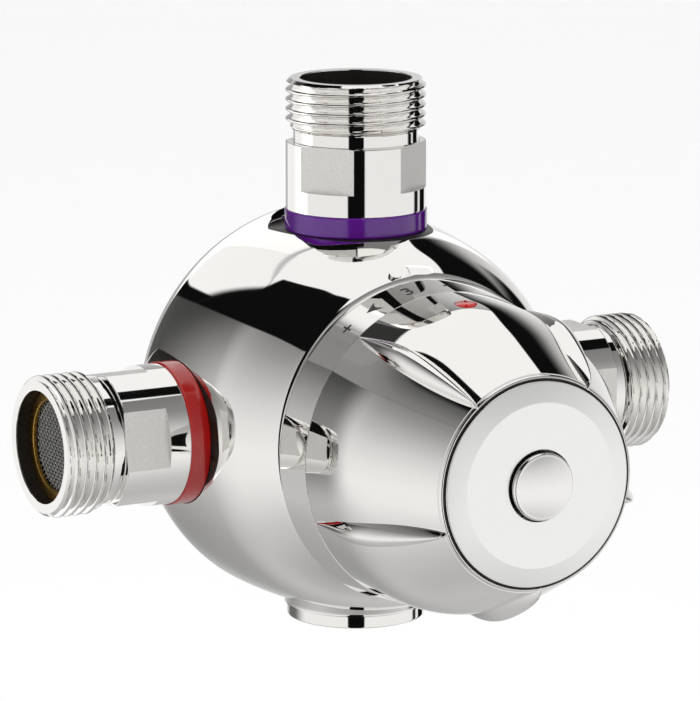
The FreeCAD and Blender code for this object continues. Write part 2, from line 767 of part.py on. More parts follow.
def make_shuttle():
    shuttle = keep(new_body("shuttle", "knob"))
    outer = "(sleeve_bore - fit_gap)"
    inner = "(sleeve_bore - fit_gap - shuttle_wall)"
    turn(shuttle, "ShuttleTurning", [
        (inner, "-shuttle_back"),
        (outer, "-shuttle_back"),
        (outer, "shuttle_front"),
        (inner, "shuttle_front"),
        (inner, "-web_back + web_thick"),
        ("element_radius + fit_gap", "-web_back + web_thick"),
        ("element_radius + fit_gap", "-web_back"),
        (inner, "-web_back"),
    ])
    flow = new_sketch(shuttle, "WebHoleCircle", "XY_Plane", "-web_back + web_thick")
    draw_circle(flow, "(return_spring_radius + return_wire + sleeve_bore - shuttle_wall) / 2",
                "0", "web_hole_radius")
    hole = pocket_away(shuttle, "WebHole", flow, "web_thick", False)
    repeat_round(shuttle, "WebHoles", hole, "web_holes")
    side = new_sketch(shuttle, "ShuttleWindowCircle", "YZ_Plane")
    draw_circle(side, "0", "(%s + %s) / 2" % (MIXED_BACK, MIXED_FRONT), "mixed_window")
    window = pocket_away(shuttle, "ShuttleWindow", side, "cartridge_bore", True)
    repeat_round(shuttle, "ShuttleWindows", window, "windows")

    element = keep(new_body("wax_element", "knob"))
    turn(element, "ElementTurning", [
        ("0", "-web_back - element_length"),
        ("element_radius - edge_break", "-web_back - element_length"),
        ("element_radius", "-web_back - element_length + edge_break"),
        ("element_radius", "-web_back + web_thick"),
        ("element_flange", "-web_back + web_thick"),
        ("element_flange", "-web_back + 2 * web_thick"),
        ("element_head", "-web_back + 2 * web_thick"),
        ("element_head", "element_head_top"),
        ("piston_radius", "element_head_top"),
        ("piston_radius", "piston_top"),
        ("0", "piston_top"),
    ])
    keep(coil("return_spring", "knob", "-bore_floor + sleeve_end", "-web_back",
              "return_spring_radius", "return_wire", 5))


def make_overload_cup():
    cup = keep(new_body("overload_cup", "knob"))
    turn(cup, "CupTurning", [
        ("plunger_stem + fit_gap", "cup_back"),
        ("seat_hole - fit_gap", "cup_back"),
        ("seat_hole - fit_gap", "cup_front"),
        ("cup_bore", "cup_front"),
        ("cup_bore", "clip_seat + clip_thick"),
        ("cup_bore + clip_depth", "clip_seat + clip_thick"),
        ("cup_bore + clip_depth", "clip_seat"),
        ("cup_bore", "clip_seat"),
        ("cup_bore", "cup_back + cup_floor"),
        ("plunger_stem + fit_gap", "cup_back + cup_floor"),
    ])
    plunger = keep(new_body("overload_plunger", "knob"))
    turn(plunger, "PlungerTurning", [
        ("0", "piston_top"),
        ("plunger_stem", "piston_top"),
        ("plunger_stem", "cup_back + cup_floor"),
        ("cup_bore - fit_gap", "cup_back + cup_floor"),
        ("cup_bore - fit_gap", "cup_back + cup_floor + plunger_thick"),
        ("0", "cup_back + cup_floor + plunger_thick"),
    ])
    clip = keep(new_body("overload_clip", "knob"))
    turn(clip, "ClipTurning", [
        ("overload_spring_radius - 2 * overload_wire", "clip_seat"),
        ("cup_bore + clip_depth", "clip_seat"),
        ("cup_bore + clip_depth", "clip_seat + clip_thick"),
        ("overload_spring_radius - 2 * overload_wire", "clip_seat + clip_thick"),
    ])
    keep(coil("overload_spring", "knob", "cup_back + cup_floor + plunger_thick", "clip_seat",
              "overload_spring_radius", "overload_wire", 3))


# Bonnet nut: closes the body and carries the spindle; its nose is the cold seat
BONNET_UNDER = "(bonnet_top - bonnet_roof)"


STOP_RADIUS = "(bonnet_neck + stop_wall)"


def make_bonnet():
    bonnet = keep(new_body("bonnet_nut", "knob"))
    turn(bonnet, "BonnetTurning", [
        ("seat_hole", "shuttle_front + seat_gap"),
        ("seat_nose", "shuttle_front + seat_gap"),
        ("seat_nose", "bonnet_seat"),
        ("bonnet_radius - sleeve_gap", "bonnet_seat"),
        ("bonnet_radius - sleeve_gap", "body_front - bonnet_flange"),
        ("bonnet_neck", "body_front - bonnet_flange"),
        ("bonnet_neck", "bonnet_top"),
        ("spindle_radius + fit_gap", "bonnet_top"),
        ("spindle_radius + fit_gap", BONNET_UNDER),
        ("seat_hole", BONNET_UNDER),
    ])
    hexagon = new_sketch(bonnet, "BonnetHexagon", "XY_Plane", "body_front - bonnet_flange")
    draw_hexagon(hexagon, "bonnet_hexagon")
    draw_circle(hexagon, "0", "0", "bonnet_neck - 1")
    pad = bonnet.newObject("PartDesign::Pad", "BonnetHead")
    pad.Profile = hexagon
    pad.Length = worth("bonnet_flange")
    pad.setExpression("Length", bound("bonnet_flange"))
    bonnet.Tip = pad

    stop = keep(new_body("stop_ring", "knob"))
    turn(stop, "StopTurning", [
        ("bonnet_neck", "body_front"),
        (STOP_RADIUS, "body_front"),
        (STOP_RADIUS, "body_front + stop_thick"),
        ("bonnet_neck", "body_front + stop_thick"),
    ])
    lug = new_sketch(stop, "StopLugOutline", "XY_Plane", "body_front")
    draw_outline(lug, [
        ("-stop_lug_width / 2", "-%s - stop_lug" % STOP_RADIUS),
        ("stop_lug_width / 2", "-%s - stop_lug" % STOP_RADIUS),
        ("stop_lug_width / 2", "-%s + 1" % STOP_RADIUS),
        ("-stop_lug_width / 2", "-%s + 1" % STOP_RADIUS),
    ])
    pad = stop.newObject("PartDesign::Pad", "StopLug")
    pad.Profile = lug
    pad.Length = worth("stop_thick")
    pad.setExpression("Length", bound("stop_thick"))
    stop.Tip = pad


def make_spindle():
    spindle = keep(new_body("spindle", "knob"))
    seal_at = "(bonnet_top - bonnet_roof / 2)"
    groove = "(spindle_radius - 2 * spindle_seal)"
    turn(spindle, "SpindleTurning", [
        ("0", "spindle_plug_back"),
        ("cup_bore - fit_gap", "spindle_plug_back"),
        ("cup_bore - fit_gap", BONNET_UNDER + " - sleeve_gap"),
        ("spindle_radius", BONNET_UNDER + " - sleeve_gap"),
        ("spindle_radius", seal_at + " - spindle_seal - groove_gap"),
        (groove, seal_at + " - spindle_seal - groove_gap"),
        (groove, seal_at + " + spindle_seal + groove_gap"),
        ("spindle_radius", seal_at + " + spindle_seal + groove_gap"),
        ("spindle_radius", "hub_back - edge_break"),
        ("spline_radius", "spline_start"),
        ("spline_radius", "spindle_top"),
        ("screw_radius", "spindle_top"),
        ("screw_radius", "web_seat + knob_web - screw_length"),
        ("0", "web_seat + knob_web - screw_length"),
    ])
    keep(o_rings("spindle_seal", "knob", groove + " + spindle_seal + fit_gap / 3",
                 "spindle_seal", [seal_at]))


# Knob: a cast and plated shell. Between the band and the front edge its crown is a smooth
# dome with equal finger ribs: each is leaf-shaped, pointed at both ends and highest near the
# front. Each section of the crown is at a share of its length, with the dome's radius there as
# a share of the band's.
CROWN_SECTIONS = (
    (0.0, 0.9976),
    (0.08, 0.9912),
    (0.2, 0.9782),
    (0.35, 0.9565),
    (0.5, 0.9204),
    (0.65, 0.8503),
    (0.8, 0.7701),
    (0.92, 0.7068),
    (0.975, 0.6782),
    (1.0, None),
)


def crown_radius(dome):
    """The dome's radius from its share of the band's, or at the front edge."""
    if dome is None:
        return worth("crown_edge_radius")
    return dome * worth("band_radius")


def crown_section(share, dome):
    """The arcs of one section of the crown, each as start, middle and end points."""
    count = int(worth("ribs"))
    dome = crown_radius(dome)
    leaf = max(math.sin(math.pi * share ** 1.367), 0.0) ** 0.552
    lift = max(math.sin(math.pi * share ** 2.196), 0.0) ** 0.344
    half = max(worth("rib_half") * leaf, 0.4)
    crest = dome + max(worth("rib_rise") * lift, 0.03)
    middle = dome + worth("crown_bulge") * math.sin(math.pi * share)
    step = 360.0 / count

    def spot(radius, turned):
        turned = math.radians(turned)
        return FreeCAD.Vector(radius * math.sin(turned), radius * math.cos(turned), 0)

    arcs = []
    for number in range(count):
        rib = worth("first_rib") - number * step
        arcs.append((spot(dome, rib + half), spot(crest, rib), spot(dome, rib - half)))
        arcs.append((spot(dome, rib - half), spot(middle, rib - step / 2),
                     spot(dome, rib - step + half)))
    return arcs


def draw_section(sketch, arcs):
    """A closed wire of arcs, each fixed where it is drawn."""
    for start, middle, end in arcs:
        edge = sketch.addGeometry(Part.Arc(start, middle, end), False)
        sketch.addConstraint(Sketcher.Constraint("Block", edge))


def make_knob():
    knob = keep(new_body("knob", "knob"))
    sections = []
    for number, (share, dome) in enumerate(CROWN_SECTIONS, start=1):
        lift = "band_front + %s * (crown_front - band_front)" % share
        sketch = new_sketch(knob, "CrownSection%d" % number, "XY_Plane", lift)
        draw_section(sketch, crown_section(share, dome))
        sections.append(sketch)
    crown = knob.newObject("PartDesign::AdditiveLoft", "Crown")
    crown.Profile = sections[0]
    crown.Sections = sections[1:]
    knob.Tip = crown
    turn(knob, "Band", [
        ("0", "knob_back"),
        ("rim_radius - rim_round", "knob_back", "rim_round"),
        ("rim_radius", "knob_back + rim_round"),
        ("band_radius", "band_front"),
        ("0", "band_front"),
    ])
    turn(knob, "Hollow", [
        ("0", "knob_back - 1"),
        ("rim_radius - knob_wall", "knob_back - 1"),
        ("band_radius - knob_wall", "band_front"),
        ("hollow_middle", "band_front + 7"),
        ("hollow_end", "web_seat"),
        ("0", "web_seat"),
    ], cut=True)
    turn(knob, "FrontRecess", [
        ("0", "web_seat - 1"),
        ("web_bore", "web_seat - 1"),
        ("web_bore", "web_seat + knob_web"),
        ("knob_cavity", "web_seat + knob_web"),
        ("knob_cavity", "cap_seat"),
        ("cap_radius + fit_gap", "cap_seat"),
        ("cap_radius + fit_gap", "crown_front + 1"),
        ("0", "crown_front + 1"),
    ], cut=True)
    dot = knob.newObject("PartDesign::SubtractiveCylinder", "DotRecess")
    dot.Radius = worth("dot_radius")
    dot.setExpression("Radius", bound("dot_radius"))
    dot.Height = worth("dot_depth + rib_rise")
    dot.setExpression("Height", bound("dot_depth + rib_rise"))
    dot.AttachmentSupport = [(origin_plane(knob, "XY_Plane"), "")]
    dot.MapMode = "FlatFace"
    dot.AttachmentOffset = dot_seat()
    knob.Tip = dot


def dot_seat():
    """The seat of the index dot, square to the dome under it, near the middle of a petal."""
    length = worth("crown_front - band_front")
    share = worth("dot_forward - band_front") / length
    radii = []
    for at in (share, share + 0.05):
        before, after = [
            (low, high) for low, high in zip(CROWN_SECTIONS, CROWN_SECTIONS[1:])
            if low[0] <= at <= high[0]][0]
        part = (at - before[0]) / (after[0] - before[0])
        bulge = worth("crown_bulge") * math.sin(math.pi * at)
        dome = before[1] + part * (after[1] - before[1])
        radii.append(crown_radius(dome) + bulge)
    slope = (radii[0] - radii[1]) / (0.05 * length)
    return surface_seat(radii[0], worth("dot_forward"), worth("dot_turn"), slope,
                        worth("dot_depth"))


def make_index_dot():
    dot = keep(new_body("index_dot", "knob"))
    sketch = new_sketch(dot, "DotCircle", "XY_Plane")
    sketch.AttachmentOffset = dot_seat()
    draw_circle(sketch, "0", "0", "dot_radius")
    disc = dot.newObject("PartDesign::Pad", "DotDisc")
    disc.Profile = sketch
    disc.Length = worth("dot_depth")
    disc.setExpression("Length", bound("dot_depth"))
    dot.Tip = disc


# Hub: moulded, keyed to the spindle and held to the web of the knob by one screw
def make_hub():
    hub = keep(new_body("knob_hub", "knob"))
    turn(hub, "HubTurning", [
        ("spindle_radius + fit_gap", "hub_back"),
        ("hub_radius", "hub_back"),
        ("hub_radius", "web_seat - hub_flange_thick"),
        ("hub_flange", "web_seat - hub_flange_thick"),
        ("hub_flange", "web_seat"),
        ("screw_radius + fit_gap", "web_seat"),
        ("screw_radius + fit_gap", "spindle_top + fit_gap"),
        ("spline_radius + fit_gap", "spindle_top + fit_gap"),
        ("spline_radius + fit_gap", "spline_start"),
        ("spindle_radius + fit_gap", "spline_start"),
    ])
    lug = new_sketch(hub, "HubLugOutline", "XY_Plane", "hub_lug_back")
    draw_outline(lug, [
        ("-stop_lug_width / 2", STOP_RADIUS + " + 3 * sleeve_gap"),
        ("stop_lug_width / 2", STOP_RADIUS + " + 3 * sleeve_gap"),
        ("stop_lug_width / 2", "hub_lug_radius"),
        ("-stop_lug_width / 2", "hub_lug_radius"),
    ])
    pad = hub.newObject("PartDesign::Pad", "HubLug")
    pad.Profile = lug
    pad.Length = worth("web_seat - hub_lug_back")
    pad.setExpression("Length", bound("web_seat - hub_lug_back"))
    hub.Tip = pad

    screw = keep(new_body("hub_screw", "knob"))
    turn(screw, "ScrewTurning", [
        ("0", "web_seat + knob_web - screw_length"),
        ("screw_radius", "web_seat + knob_web - screw_length"),
        ("screw_radius", "web_seat"),
        ("screw_head", "web_seat"),
        ("screw_head", "web_seat + screw_head_height"),
        ("0", "web_seat + screw_head_height"),
    ])


# Front cap: a turned, satin finished disc, with the guide of the push button behind it
def make_front_cap():
    cap = keep(new_body("front_cap", "knob"))
    turn(cap, "CapTurning", [
        ("button_hole", "guide_back"),
        ("guide_radius", "guide_back"),
        ("guide_radius", "cap_face_front - cap_plate"),
        ("knob_cavity", "cap_face_front - cap_plate"),
        ("knob_cavity", "cap_seat"),
        ("cap_radius", "cap_seat"),
        ("cap_radius", "cap_edge_front - edge_break / 2"),
        ("cap_bevel_outer", "cap_edge_front"),
        ("cap_bevel_inner", "cap_face_front"),
        ("button_hole", "cap_face_front"),
    ])
    button = keep(new_body("push_button", "knob"))
    crown = "(button_crown + (button_radius - button_round)^2 / button_crown) / 2"
    turn(button, "ButtonTurning", [
        ("0", "guide_back - button_flange_thick"),
        ("button_flange", "guide_back - button_flange_thick"),
        ("button_flange", "guide_back"),
        ("button_radius", "guide_back"),
        ("button_radius", "button_face - button_round", "button_round"),
        ("button_radius - button_round", "button_face", crown),
        ("0", "button_face + button_crown"),
    ])
    keep(coil("button_spring", "knob", "web_seat + knob_web",
              "guide_back - button_flange_thick", "button_spring_radius", "button_wire", 3))


make_valve_body()
make_index_stud()
for way in ("hot", "cold", "outlet"):
    make_union(way)
    make_ring(way)
    make_seal(way + "_seal", way)
for way in ("hot", "cold"):
    make_strainer(way)
    make_check_valve(way)
make_plug()
make_seal("plug_seal", "plug")
make_sleeve()
make_hot_seat()
make_shuttle()
make_overload_cup()
make_bonnet()
make_spindle()
make_knob()
make_index_dot()
make_hub()
make_front_cap()
doc.recompute()

faults = [o.Name for o in doc.Objects if {"Invalid", "Error"} & set(o.State)]
for piece in nodes:
    if piece.Shape.isNull() or not piece.Shape.isValid():
        faults.append(piece.Label)
if faults:
    sys.exit("failed: " + ", ".join(faults))

os.makedirs("parts", exist_ok=True)
for piece in nodes:
    piece.Shape.exportStep("parts/%s.step" % piece.Label)
    print("%-22s %9.1f mm3, %d solid" % (piece.Label, piece.Shape.Volume, len(piece.Shape.Solids)))
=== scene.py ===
"""A chrome mixing valve: ovoid body, three screwed unions with coloured rings, a plugged port
and a ribbed turning knob with a push button. Metres, +Z up, knob towards -Y, hot inlet to -X."""

import math

import bpy
from mathutils import Matrix, Vector


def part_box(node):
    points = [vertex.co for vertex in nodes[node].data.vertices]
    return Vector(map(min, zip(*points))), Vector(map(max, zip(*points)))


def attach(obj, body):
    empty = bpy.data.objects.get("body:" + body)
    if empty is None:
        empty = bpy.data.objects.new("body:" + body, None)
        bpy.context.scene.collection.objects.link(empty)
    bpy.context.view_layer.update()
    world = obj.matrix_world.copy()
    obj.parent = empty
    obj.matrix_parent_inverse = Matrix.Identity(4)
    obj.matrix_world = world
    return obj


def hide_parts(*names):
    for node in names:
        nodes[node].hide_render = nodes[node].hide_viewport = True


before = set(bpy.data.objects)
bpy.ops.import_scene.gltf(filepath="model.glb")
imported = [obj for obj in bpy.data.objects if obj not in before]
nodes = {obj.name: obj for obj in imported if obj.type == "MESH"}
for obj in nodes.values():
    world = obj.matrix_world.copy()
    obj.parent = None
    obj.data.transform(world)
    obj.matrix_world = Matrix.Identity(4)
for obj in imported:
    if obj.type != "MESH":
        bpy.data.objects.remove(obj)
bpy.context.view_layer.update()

MM = 0.001

# The crossing of the ports: knob and inlets share one axis height, and the outlet and the plug
# stand a little forward of it. Everything on the valve is measured from here.
inlet_low, inlet_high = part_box("cold_union")
outlet_low, outlet_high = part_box("outlet_union")
crossing = Vector((0, (inlet_low.y + inlet_high.y) / 2, (inlet_low.z + inlet_high.z) / 2))
stack = Vector((0, (outlet_low.y + outlet_high.y) / 2, crossing.z))

WAYS = {
    "knob": (crossing, Matrix.Rotation(math.radians(90), 4, "X")),
    "hot": (crossing, Matrix.Rotation(math.radians(-90), 4, "Y")),
    "cold": (crossing, Matrix.Rotation(math.radians(90), 4, "Y")),
    "outlet": (stack, Matrix.Identity(4)),
    "plug": (stack, Matrix.Rotation(math.radians(180), 4, "X")),
}


# Valve body: one brass casting, turned all over, bored for the cartridge from the front and
# for the three unions and the plug, then polished and chromium plated. Its back is a flat
# dome that rolls over a tight round into the widest circle, and its shoulder falls to the knob.
BODY_RADIUS = 38.5
WIDEST_BACK = 8.2
BODY_LIFT = 0.9
REAR_ROUND, REAR_TURN = 16.3, math.radians(50)
SIDE_ROUND, SIDE_TURN = 144.0, math.radians(8.4)
SHOULDER_ROUND, BODY_FRONT = 29.0, 28.2
CORE_RADIUS, CORE_FLOOR = 11.5, 27.5
CARTRIDGE_RADIUS, CARTRIDGE_FLOOR = 17.0, 20.0
RECESS_RADIUS, RECESS_FLOOR = 20.0, 17.0
PORT_FACE, PORT_FLOOR, PORT_RADIUS = 36.1, 26.0, 10.6
BOSS_RADIUS, SPOT_RADIUS = 13.6, 16.6
BOSS_OVERLAP, CUT_PAST_SKIN, CUT_PAST_FRONT = 2, 3, 1


class Socket:
    """An output socket that adds Math nodes when it is used in an expression."""

    def __init__(self, tree, link):
        self.tree = tree
        self.link = link

    def math(self, operation, *others):
        node = self.tree.nodes.new("ShaderNodeMath")
        node.operation = operation
        for place, value in zip(node.inputs, (self,) + others):
            plug_in(self.tree, place, value)
        return Socket(self.tree, node.outputs[0])

    def __add__(self, other):
        return self.math("ADD", other)

    def __mul__(self, other):
        return self.math("MULTIPLY", other)

    def __sub__(self, other):
        return self.math("SUBTRACT", other)

    def __rsub__(self, other):
        return self.math("MULTIPLY", -1.0).math("ADD", other)

    def __truediv__(self, other):
        return self.math("DIVIDE", other)

    __radd__ = __add__
    __rmul__ = __mul__

    def most(self, *others):
        """The largest of this and the others."""
        largest = self
        for other in others:
            largest = largest.math("MAXIMUM", other)
        return largest

    def step(self, start, end):
        """0 at start, 1 at end, with soft shoulders."""
        node = self.tree.nodes.new("ShaderNodeMapRange")
        node.interpolation_type = "SMOOTHSTEP"
        plug_in(self.tree, node.inputs["Value"], self)
        node.inputs["From Min"].default_value = start
        node.inputs["From Max"].default_value = end
        return Socket(self.tree, node.outputs["Result"])


def plug_in(tree, place, value):
    """Links an output socket to an input, or sets the input to a plain value."""
    if isinstance(value, Socket):
        tree.links.new(value.link, place)
    else:
        place.default_value = value


class Finish:
    """One material: its node tree, its shader and ways to add nodes to it."""

    def __init__(self, name, **constants):
        self.material = bpy.data.materials.new(name)
        self.material.use_nodes = True
        self.tree = self.material.node_tree
        self.shader = self.tree.nodes["Principled BSDF"]
        for socket, value in constants.items():
            self.shader.inputs[socket.replace("_", " ")].default_value = value

    def node(self, kind, *inputs, out=0, settings=None, **values):
        """A node of a type, with its settings and the values or links of its sockets."""
        node = self.tree.nodes.new(kind)
        for name, value in (settings or {}).items():
            setattr(node, name, value)
        for place, value in zip(node.inputs, inputs):
            plug_in(self.tree, place, value)
        for name, value in values.items():
            plug_in(self.tree, node.inputs[name.replace("_", " ")], value)
        return Socket(self.tree, node.outputs[out])

    def spot(self, scale=(1, 1, 1)):
        """Object coordinates in metres, stretched by scale."""
        place = self.node("ShaderNodeTexCoord", out="Object")
        return self.node("ShaderNodeMapping", Vector=place, Scale=scale)

    def noise(self, size, detail=3.0, scale=(1, 1, 1)):
        """Smooth noise whose features are about size metres across, from 0 to 1."""
        return self.node("ShaderNodeTexNoise", Vector=self.spot(scale), Scale=1.0 / size,
                         Detail=detail)

    def mix(self, share, first, second):
        """A colour between two colours."""
        node = self.tree.nodes.new("ShaderNodeMix")
        node.data_type = "RGBA"
        plug_in(self.tree, node.inputs[0], share)
        plug_in(self.tree, node.inputs[6], first)
        plug_in(self.tree, node.inputs[7], second)
        return Socket(self.tree, node.outputs[2])

    def clouded(self, size, detail, first, second, depth=0):
        """Noise that shifts the colour between two and, given a depth, raises the surface."""
        cloud = self.noise(size, detail)
        self.feed(Base_Color=self.mix(cloud, first + (1,), second + (1,)))
        if depth:
            self.relief(cloud, depth)
        return cloud

    def feed(self, **values):
        for name, value in values.items():
            plug_in(self.tree, self.shader.inputs[name.replace("_", " ")], value)

    def relief(self, height, depth):
        """Bumps of a depth in metres where height goes from 0 to 1."""
        bump = self.node("ShaderNodeBump", Height=height, Strength=1.0, Distance=depth)
        self.feed(Normal=bump)


def polished_chrome(name, tint, roughness):
    """Bright nickel-chrome plate over polished brass: faint waves and hair-fine wiping marks."""
    finish = Finish(name, Metallic=1.0)
    broad = finish.noise(0.012, detail=2.0)
    fine = finish.noise(0.0006, detail=4.0, scale=(1, 1, 6))
    finish.feed(Roughness=roughness + 0.02 * broad + 0.012 * fine)
    darker = tuple(0.97 * part for part in tint[:3]) + (1,)
    finish.feed(Base_Color=finish.mix(broad, tint, darker))
    finish.relief(finish.noise(0.02, detail=1.0), 0.00001)
    return finish.material


CHROME_TINT = (0.93, 0.915, 0.89, 1)
chrome = polished_chrome("polished_chrome", CHROME_TINT, 0.015)


def pick(piece):
    """Selects one piece alone and makes it the active one."""
    bpy.ops.object.select_all(action="DESELECT")
    bpy.context.view_layer.objects.active = piece
    piece.select_set(True)


def edit(piece):
    """Goes into edit mode on one piece with all of it selected."""
    pick(piece)
    bpy.ops.object.mode_set(mode="EDIT")
    bpy.ops.mesh.select_all(action="SELECT")


def leave():
    bpy.ops.object.mode_set(mode="OBJECT")


def arc(start, end, radius, count):
    """Points from start to end on an arc; a positive radius has its centre left of the way."""
    start, end = Vector(start), Vector(end)
    chord = end - start
    left = Vector((-chord.y, chord.x)).normalized()
    to_centre = math.sqrt(max(radius ** 2 - chord.length ** 2 / 4, 0))
    centre = (start + end) / 2 + left * math.copysign(to_centre, radius)
    first = math.atan2(start.y - centre.y, start.x - centre.x)
    last = math.atan2(end.y - centre.y, end.x - centre.x)
    if radius > 0 and last < first:
        last += 2 * math.pi
    if radius < 0 and last > first:
        last -= 2 * math.pi
    turns = [first + (last - first) * i / count for i in range(count + 1)]
    return [(centre.x + abs(radius) * math.cos(t), centre.y + abs(radius) * math.sin(t))
            for t in turns]


def set_in_place(piece, way):
    """Moves a mesh made about its own Z, in millimetres, to the valve, in metres."""
    centre, turned = WAYS[way]
    piece.data.transform(Matrix.Translation(centre) @ turned @ Matrix.Scale(MM, 4))
    piece.data.update()


MERGE_WITHIN, FLAT_WITHIN = 0.0005, 0.0001


def turned_piece(name, outline, steps=128):
    """Spins an outline of (radius, height), in millimetres, about Z into a solid.

    It is closed on itself, or by the axis where it starts and ends there."""
    bpy.ops.object.select_all(action="DESELECT")
    bpy.ops.mesh.primitive_plane_add(size=1)
    piece = bpy.context.object
    piece.name = name
    edit(piece)
    bpy.ops.mesh.merge(type="CENTER")
    place = Vector((outline[0][0], 0, outline[0][1]))
    bpy.ops.transform.translate(value=place)
    closing = outline[:1] if outline[0][0] > 0.001 else []
    for radius, height in outline[1:] + closing:
        spot = Vector((radius, 0, height))
        bpy.ops.mesh.extrude_region_move(TRANSFORM_OT_translate={"value": spot - place})
        place = spot
    bpy.ops.mesh.select_all(action="SELECT")
    bpy.ops.mesh.remove_doubles(threshold=MERGE_WITHIN)
    bpy.ops.mesh.spin(steps=steps, angle=2 * math.pi, center=(0, 0, 0), axis=(0, 0, 1))
    bpy.ops.mesh.select_all(action="SELECT")
    bpy.ops.mesh.remove_doubles(threshold=MERGE_WITHIN)
    bpy.ops.mesh.dissolve_degenerate(threshold=FLAT_WITHIN)
    bpy.ops.mesh.select_all(action="SELECT")
    bpy.ops.mesh.normals_make_consistent(inside=False)
    leave()
    return piece


def smooth(piece, angle=25):
    """Smooth shading, broken at edges sharper than the angle."""
    pick(piece)
    bpy.ops.object.shade_smooth_by_angle(angle=math.radians(angle), keep_sharp_edges=True)


def join_solid(piece, tool, how="DIFFERENCE"):
    """Cuts a tool out of a piece, or adds it, and takes the tool away."""
    pick(piece)
    change = piece.modifiers.new("solid", "BOOLEAN")
    change.operation = how
    change.solver = "EXACT"
    change.object = tool
    bpy.ops.object.modifier_apply(modifier=change.name)
    bpy.data.objects.remove(tool)


def paint(piece, material):
    """Gives a piece one material in place of what it has."""
    piece.data.materials.clear()
    piece.data.materials.append(material)


def finish_piece(piece, body, slot, material, *stands_for):
    """Gives a piece its material and its body, and hides the nodes that it stands for. The slot is
    not used.
    """
    if material:
        paint(piece, material)
    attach(piece, body)
    if stands_for:
        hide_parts(*stands_for)


rear_inner = BODY_RADIUS - REAR_ROUND
dome_radius = rear_inner / math.cos(REAR_TURN) + REAR_ROUND
dome_back = -WIDEST_BACK + rear_inner * math.tan(REAR_TURN) - dome_radius
dome_edge = (rear_inner + REAR_ROUND * math.cos(REAR_TURN),
             -WIDEST_BACK - REAR_ROUND * math.sin(REAR_TURN))
side_end = (BODY_RADIUS - SIDE_ROUND * (1 - math.cos(SIDE_TURN)),
            -WIDEST_BACK + SIDE_ROUND * math.sin(SIDE_TURN))
shoulder_middle = (side_end[0] - SHOULDER_ROUND * math.cos(SIDE_TURN),
                   side_end[1] - SHOULDER_ROUND * math.sin(SIDE_TURN))
front_radius = shoulder_middle[0] + math.sqrt(
    SHOULDER_ROUND ** 2 - (BODY_FRONT - shoulder_middle[1]) ** 2)
FRONT_EASE = 0.5

body_outline = arc((0, dome_back), dome_edge, dome_radius, 40)
body_outline += arc(dome_edge, (BODY_RADIUS, -WIDEST_BACK), REAR_ROUND, 20)[1:]
body_outline += arc((BODY_RADIUS, -WIDEST_BACK), side_end, SIDE_ROUND, 16)[1:]
body_outline += arc(side_end, (front_radius, BODY_FRONT), SHOULDER_ROUND, 28)[1:-1]
body_outline += [(front_radius - 0.05, BODY_FRONT - 0.15),
                 (front_radius - FRONT_EASE, BODY_FRONT), (0, BODY_FRONT)]
valve_body = turned_piece("valve_body_shell", body_outline, 256)
valve_body.data.transform(Matrix.Translation((0, BODY_LIFT, 0)))
set_in_place(valve_body, "knob")
smooth(valve_body)


def rod(radius, low, high, way, steps=96):
    """A plain round tool between two heights on a way of the valve."""
    outline = [(0, low), (radius, low), (radius, high), (0, high)]
    tool = turned_piece("tool", outline, steps)
    set_in_place(tool, way)
    return tool


uncut_body = valve_body.copy()
uncut_body.data = valve_body.data.copy()
bpy.context.scene.collection.objects.link(uncut_body)
PORTS = ("hot", "cold", "outlet", "plug")
for port in PORTS:
    join_solid(valve_body, rod(BOSS_RADIUS, PORT_FLOOR - BOSS_OVERLAP, PORT_FACE, port), "UNION")
bore = turned_piece("tool", [
    (0, -CORE_FLOOR), (CORE_RADIUS, -CORE_FLOOR), (CORE_RADIUS, -CARTRIDGE_FLOOR),
    (CARTRIDGE_RADIUS, -CARTRIDGE_FLOOR), (CARTRIDGE_RADIUS, RECESS_FLOOR),
    (RECESS_RADIUS, RECESS_FLOOR), (RECESS_RADIUS, BODY_FRONT + CUT_PAST_FRONT),
    (0, BODY_FRONT + CUT_PAST_FRONT)], 96)
set_in_place(bore, "knob")
join_solid(valve_body, bore)
past_skin = BODY_RADIUS + CUT_PAST_SKIN
for port in PORTS:
    join_solid(valve_body, rod(SPOT_RADIUS, PORT_FACE, past_skin, port))
    join_solid(valve_body, rod(PORT_RADIUS, PORT_FLOOR, past_skin, port))
OUTLET_PASSAGE, INLET_PASSAGE, INLET_SLANT = 3.8, 2.5, 12.5
for port in ("outlet", "plug"):
    start = CARTRIDGE_RADIUS - OUTLET_PASSAGE
    join_solid(valve_body, rod(OUTLET_PASSAGE, start, PORT_FLOOR + 1, port, 48))
for side, way in ((-1, "hot"), (1, "cold")):
    drop = PORT_FLOOR - CARTRIDGE_RADIUS
    length = math.hypot(drop, INLET_SLANT)
    drill = turned_piece("tool", [(0, -1), (INLET_PASSAGE, -1), (INLET_PASSAGE, length),
                                  (0, length)], 48)
    towards = Vector((-side * drop, side * -INLET_SLANT, 0))
    turned = Vector((0, 0, 1)).rotation_difference(towards).to_matrix().to_4x4()
    start = crossing + Vector((side * PORT_FLOOR * MM, 0, 0))
    drill.data.transform(Matrix.Translation(start) @ turned @ Matrix.Scale(MM, 4))
    join_solid(valve_body, drill)
smooth(valve_body)

# The skin keeps the smooth shading of the turned form where the ports are cut into it
skin = valve_body.vertex_groups.new(name="skin")
lift = Vector((0, 0, BODY_LIFT * MM))
SKIN_TOLERANCE = 0.03


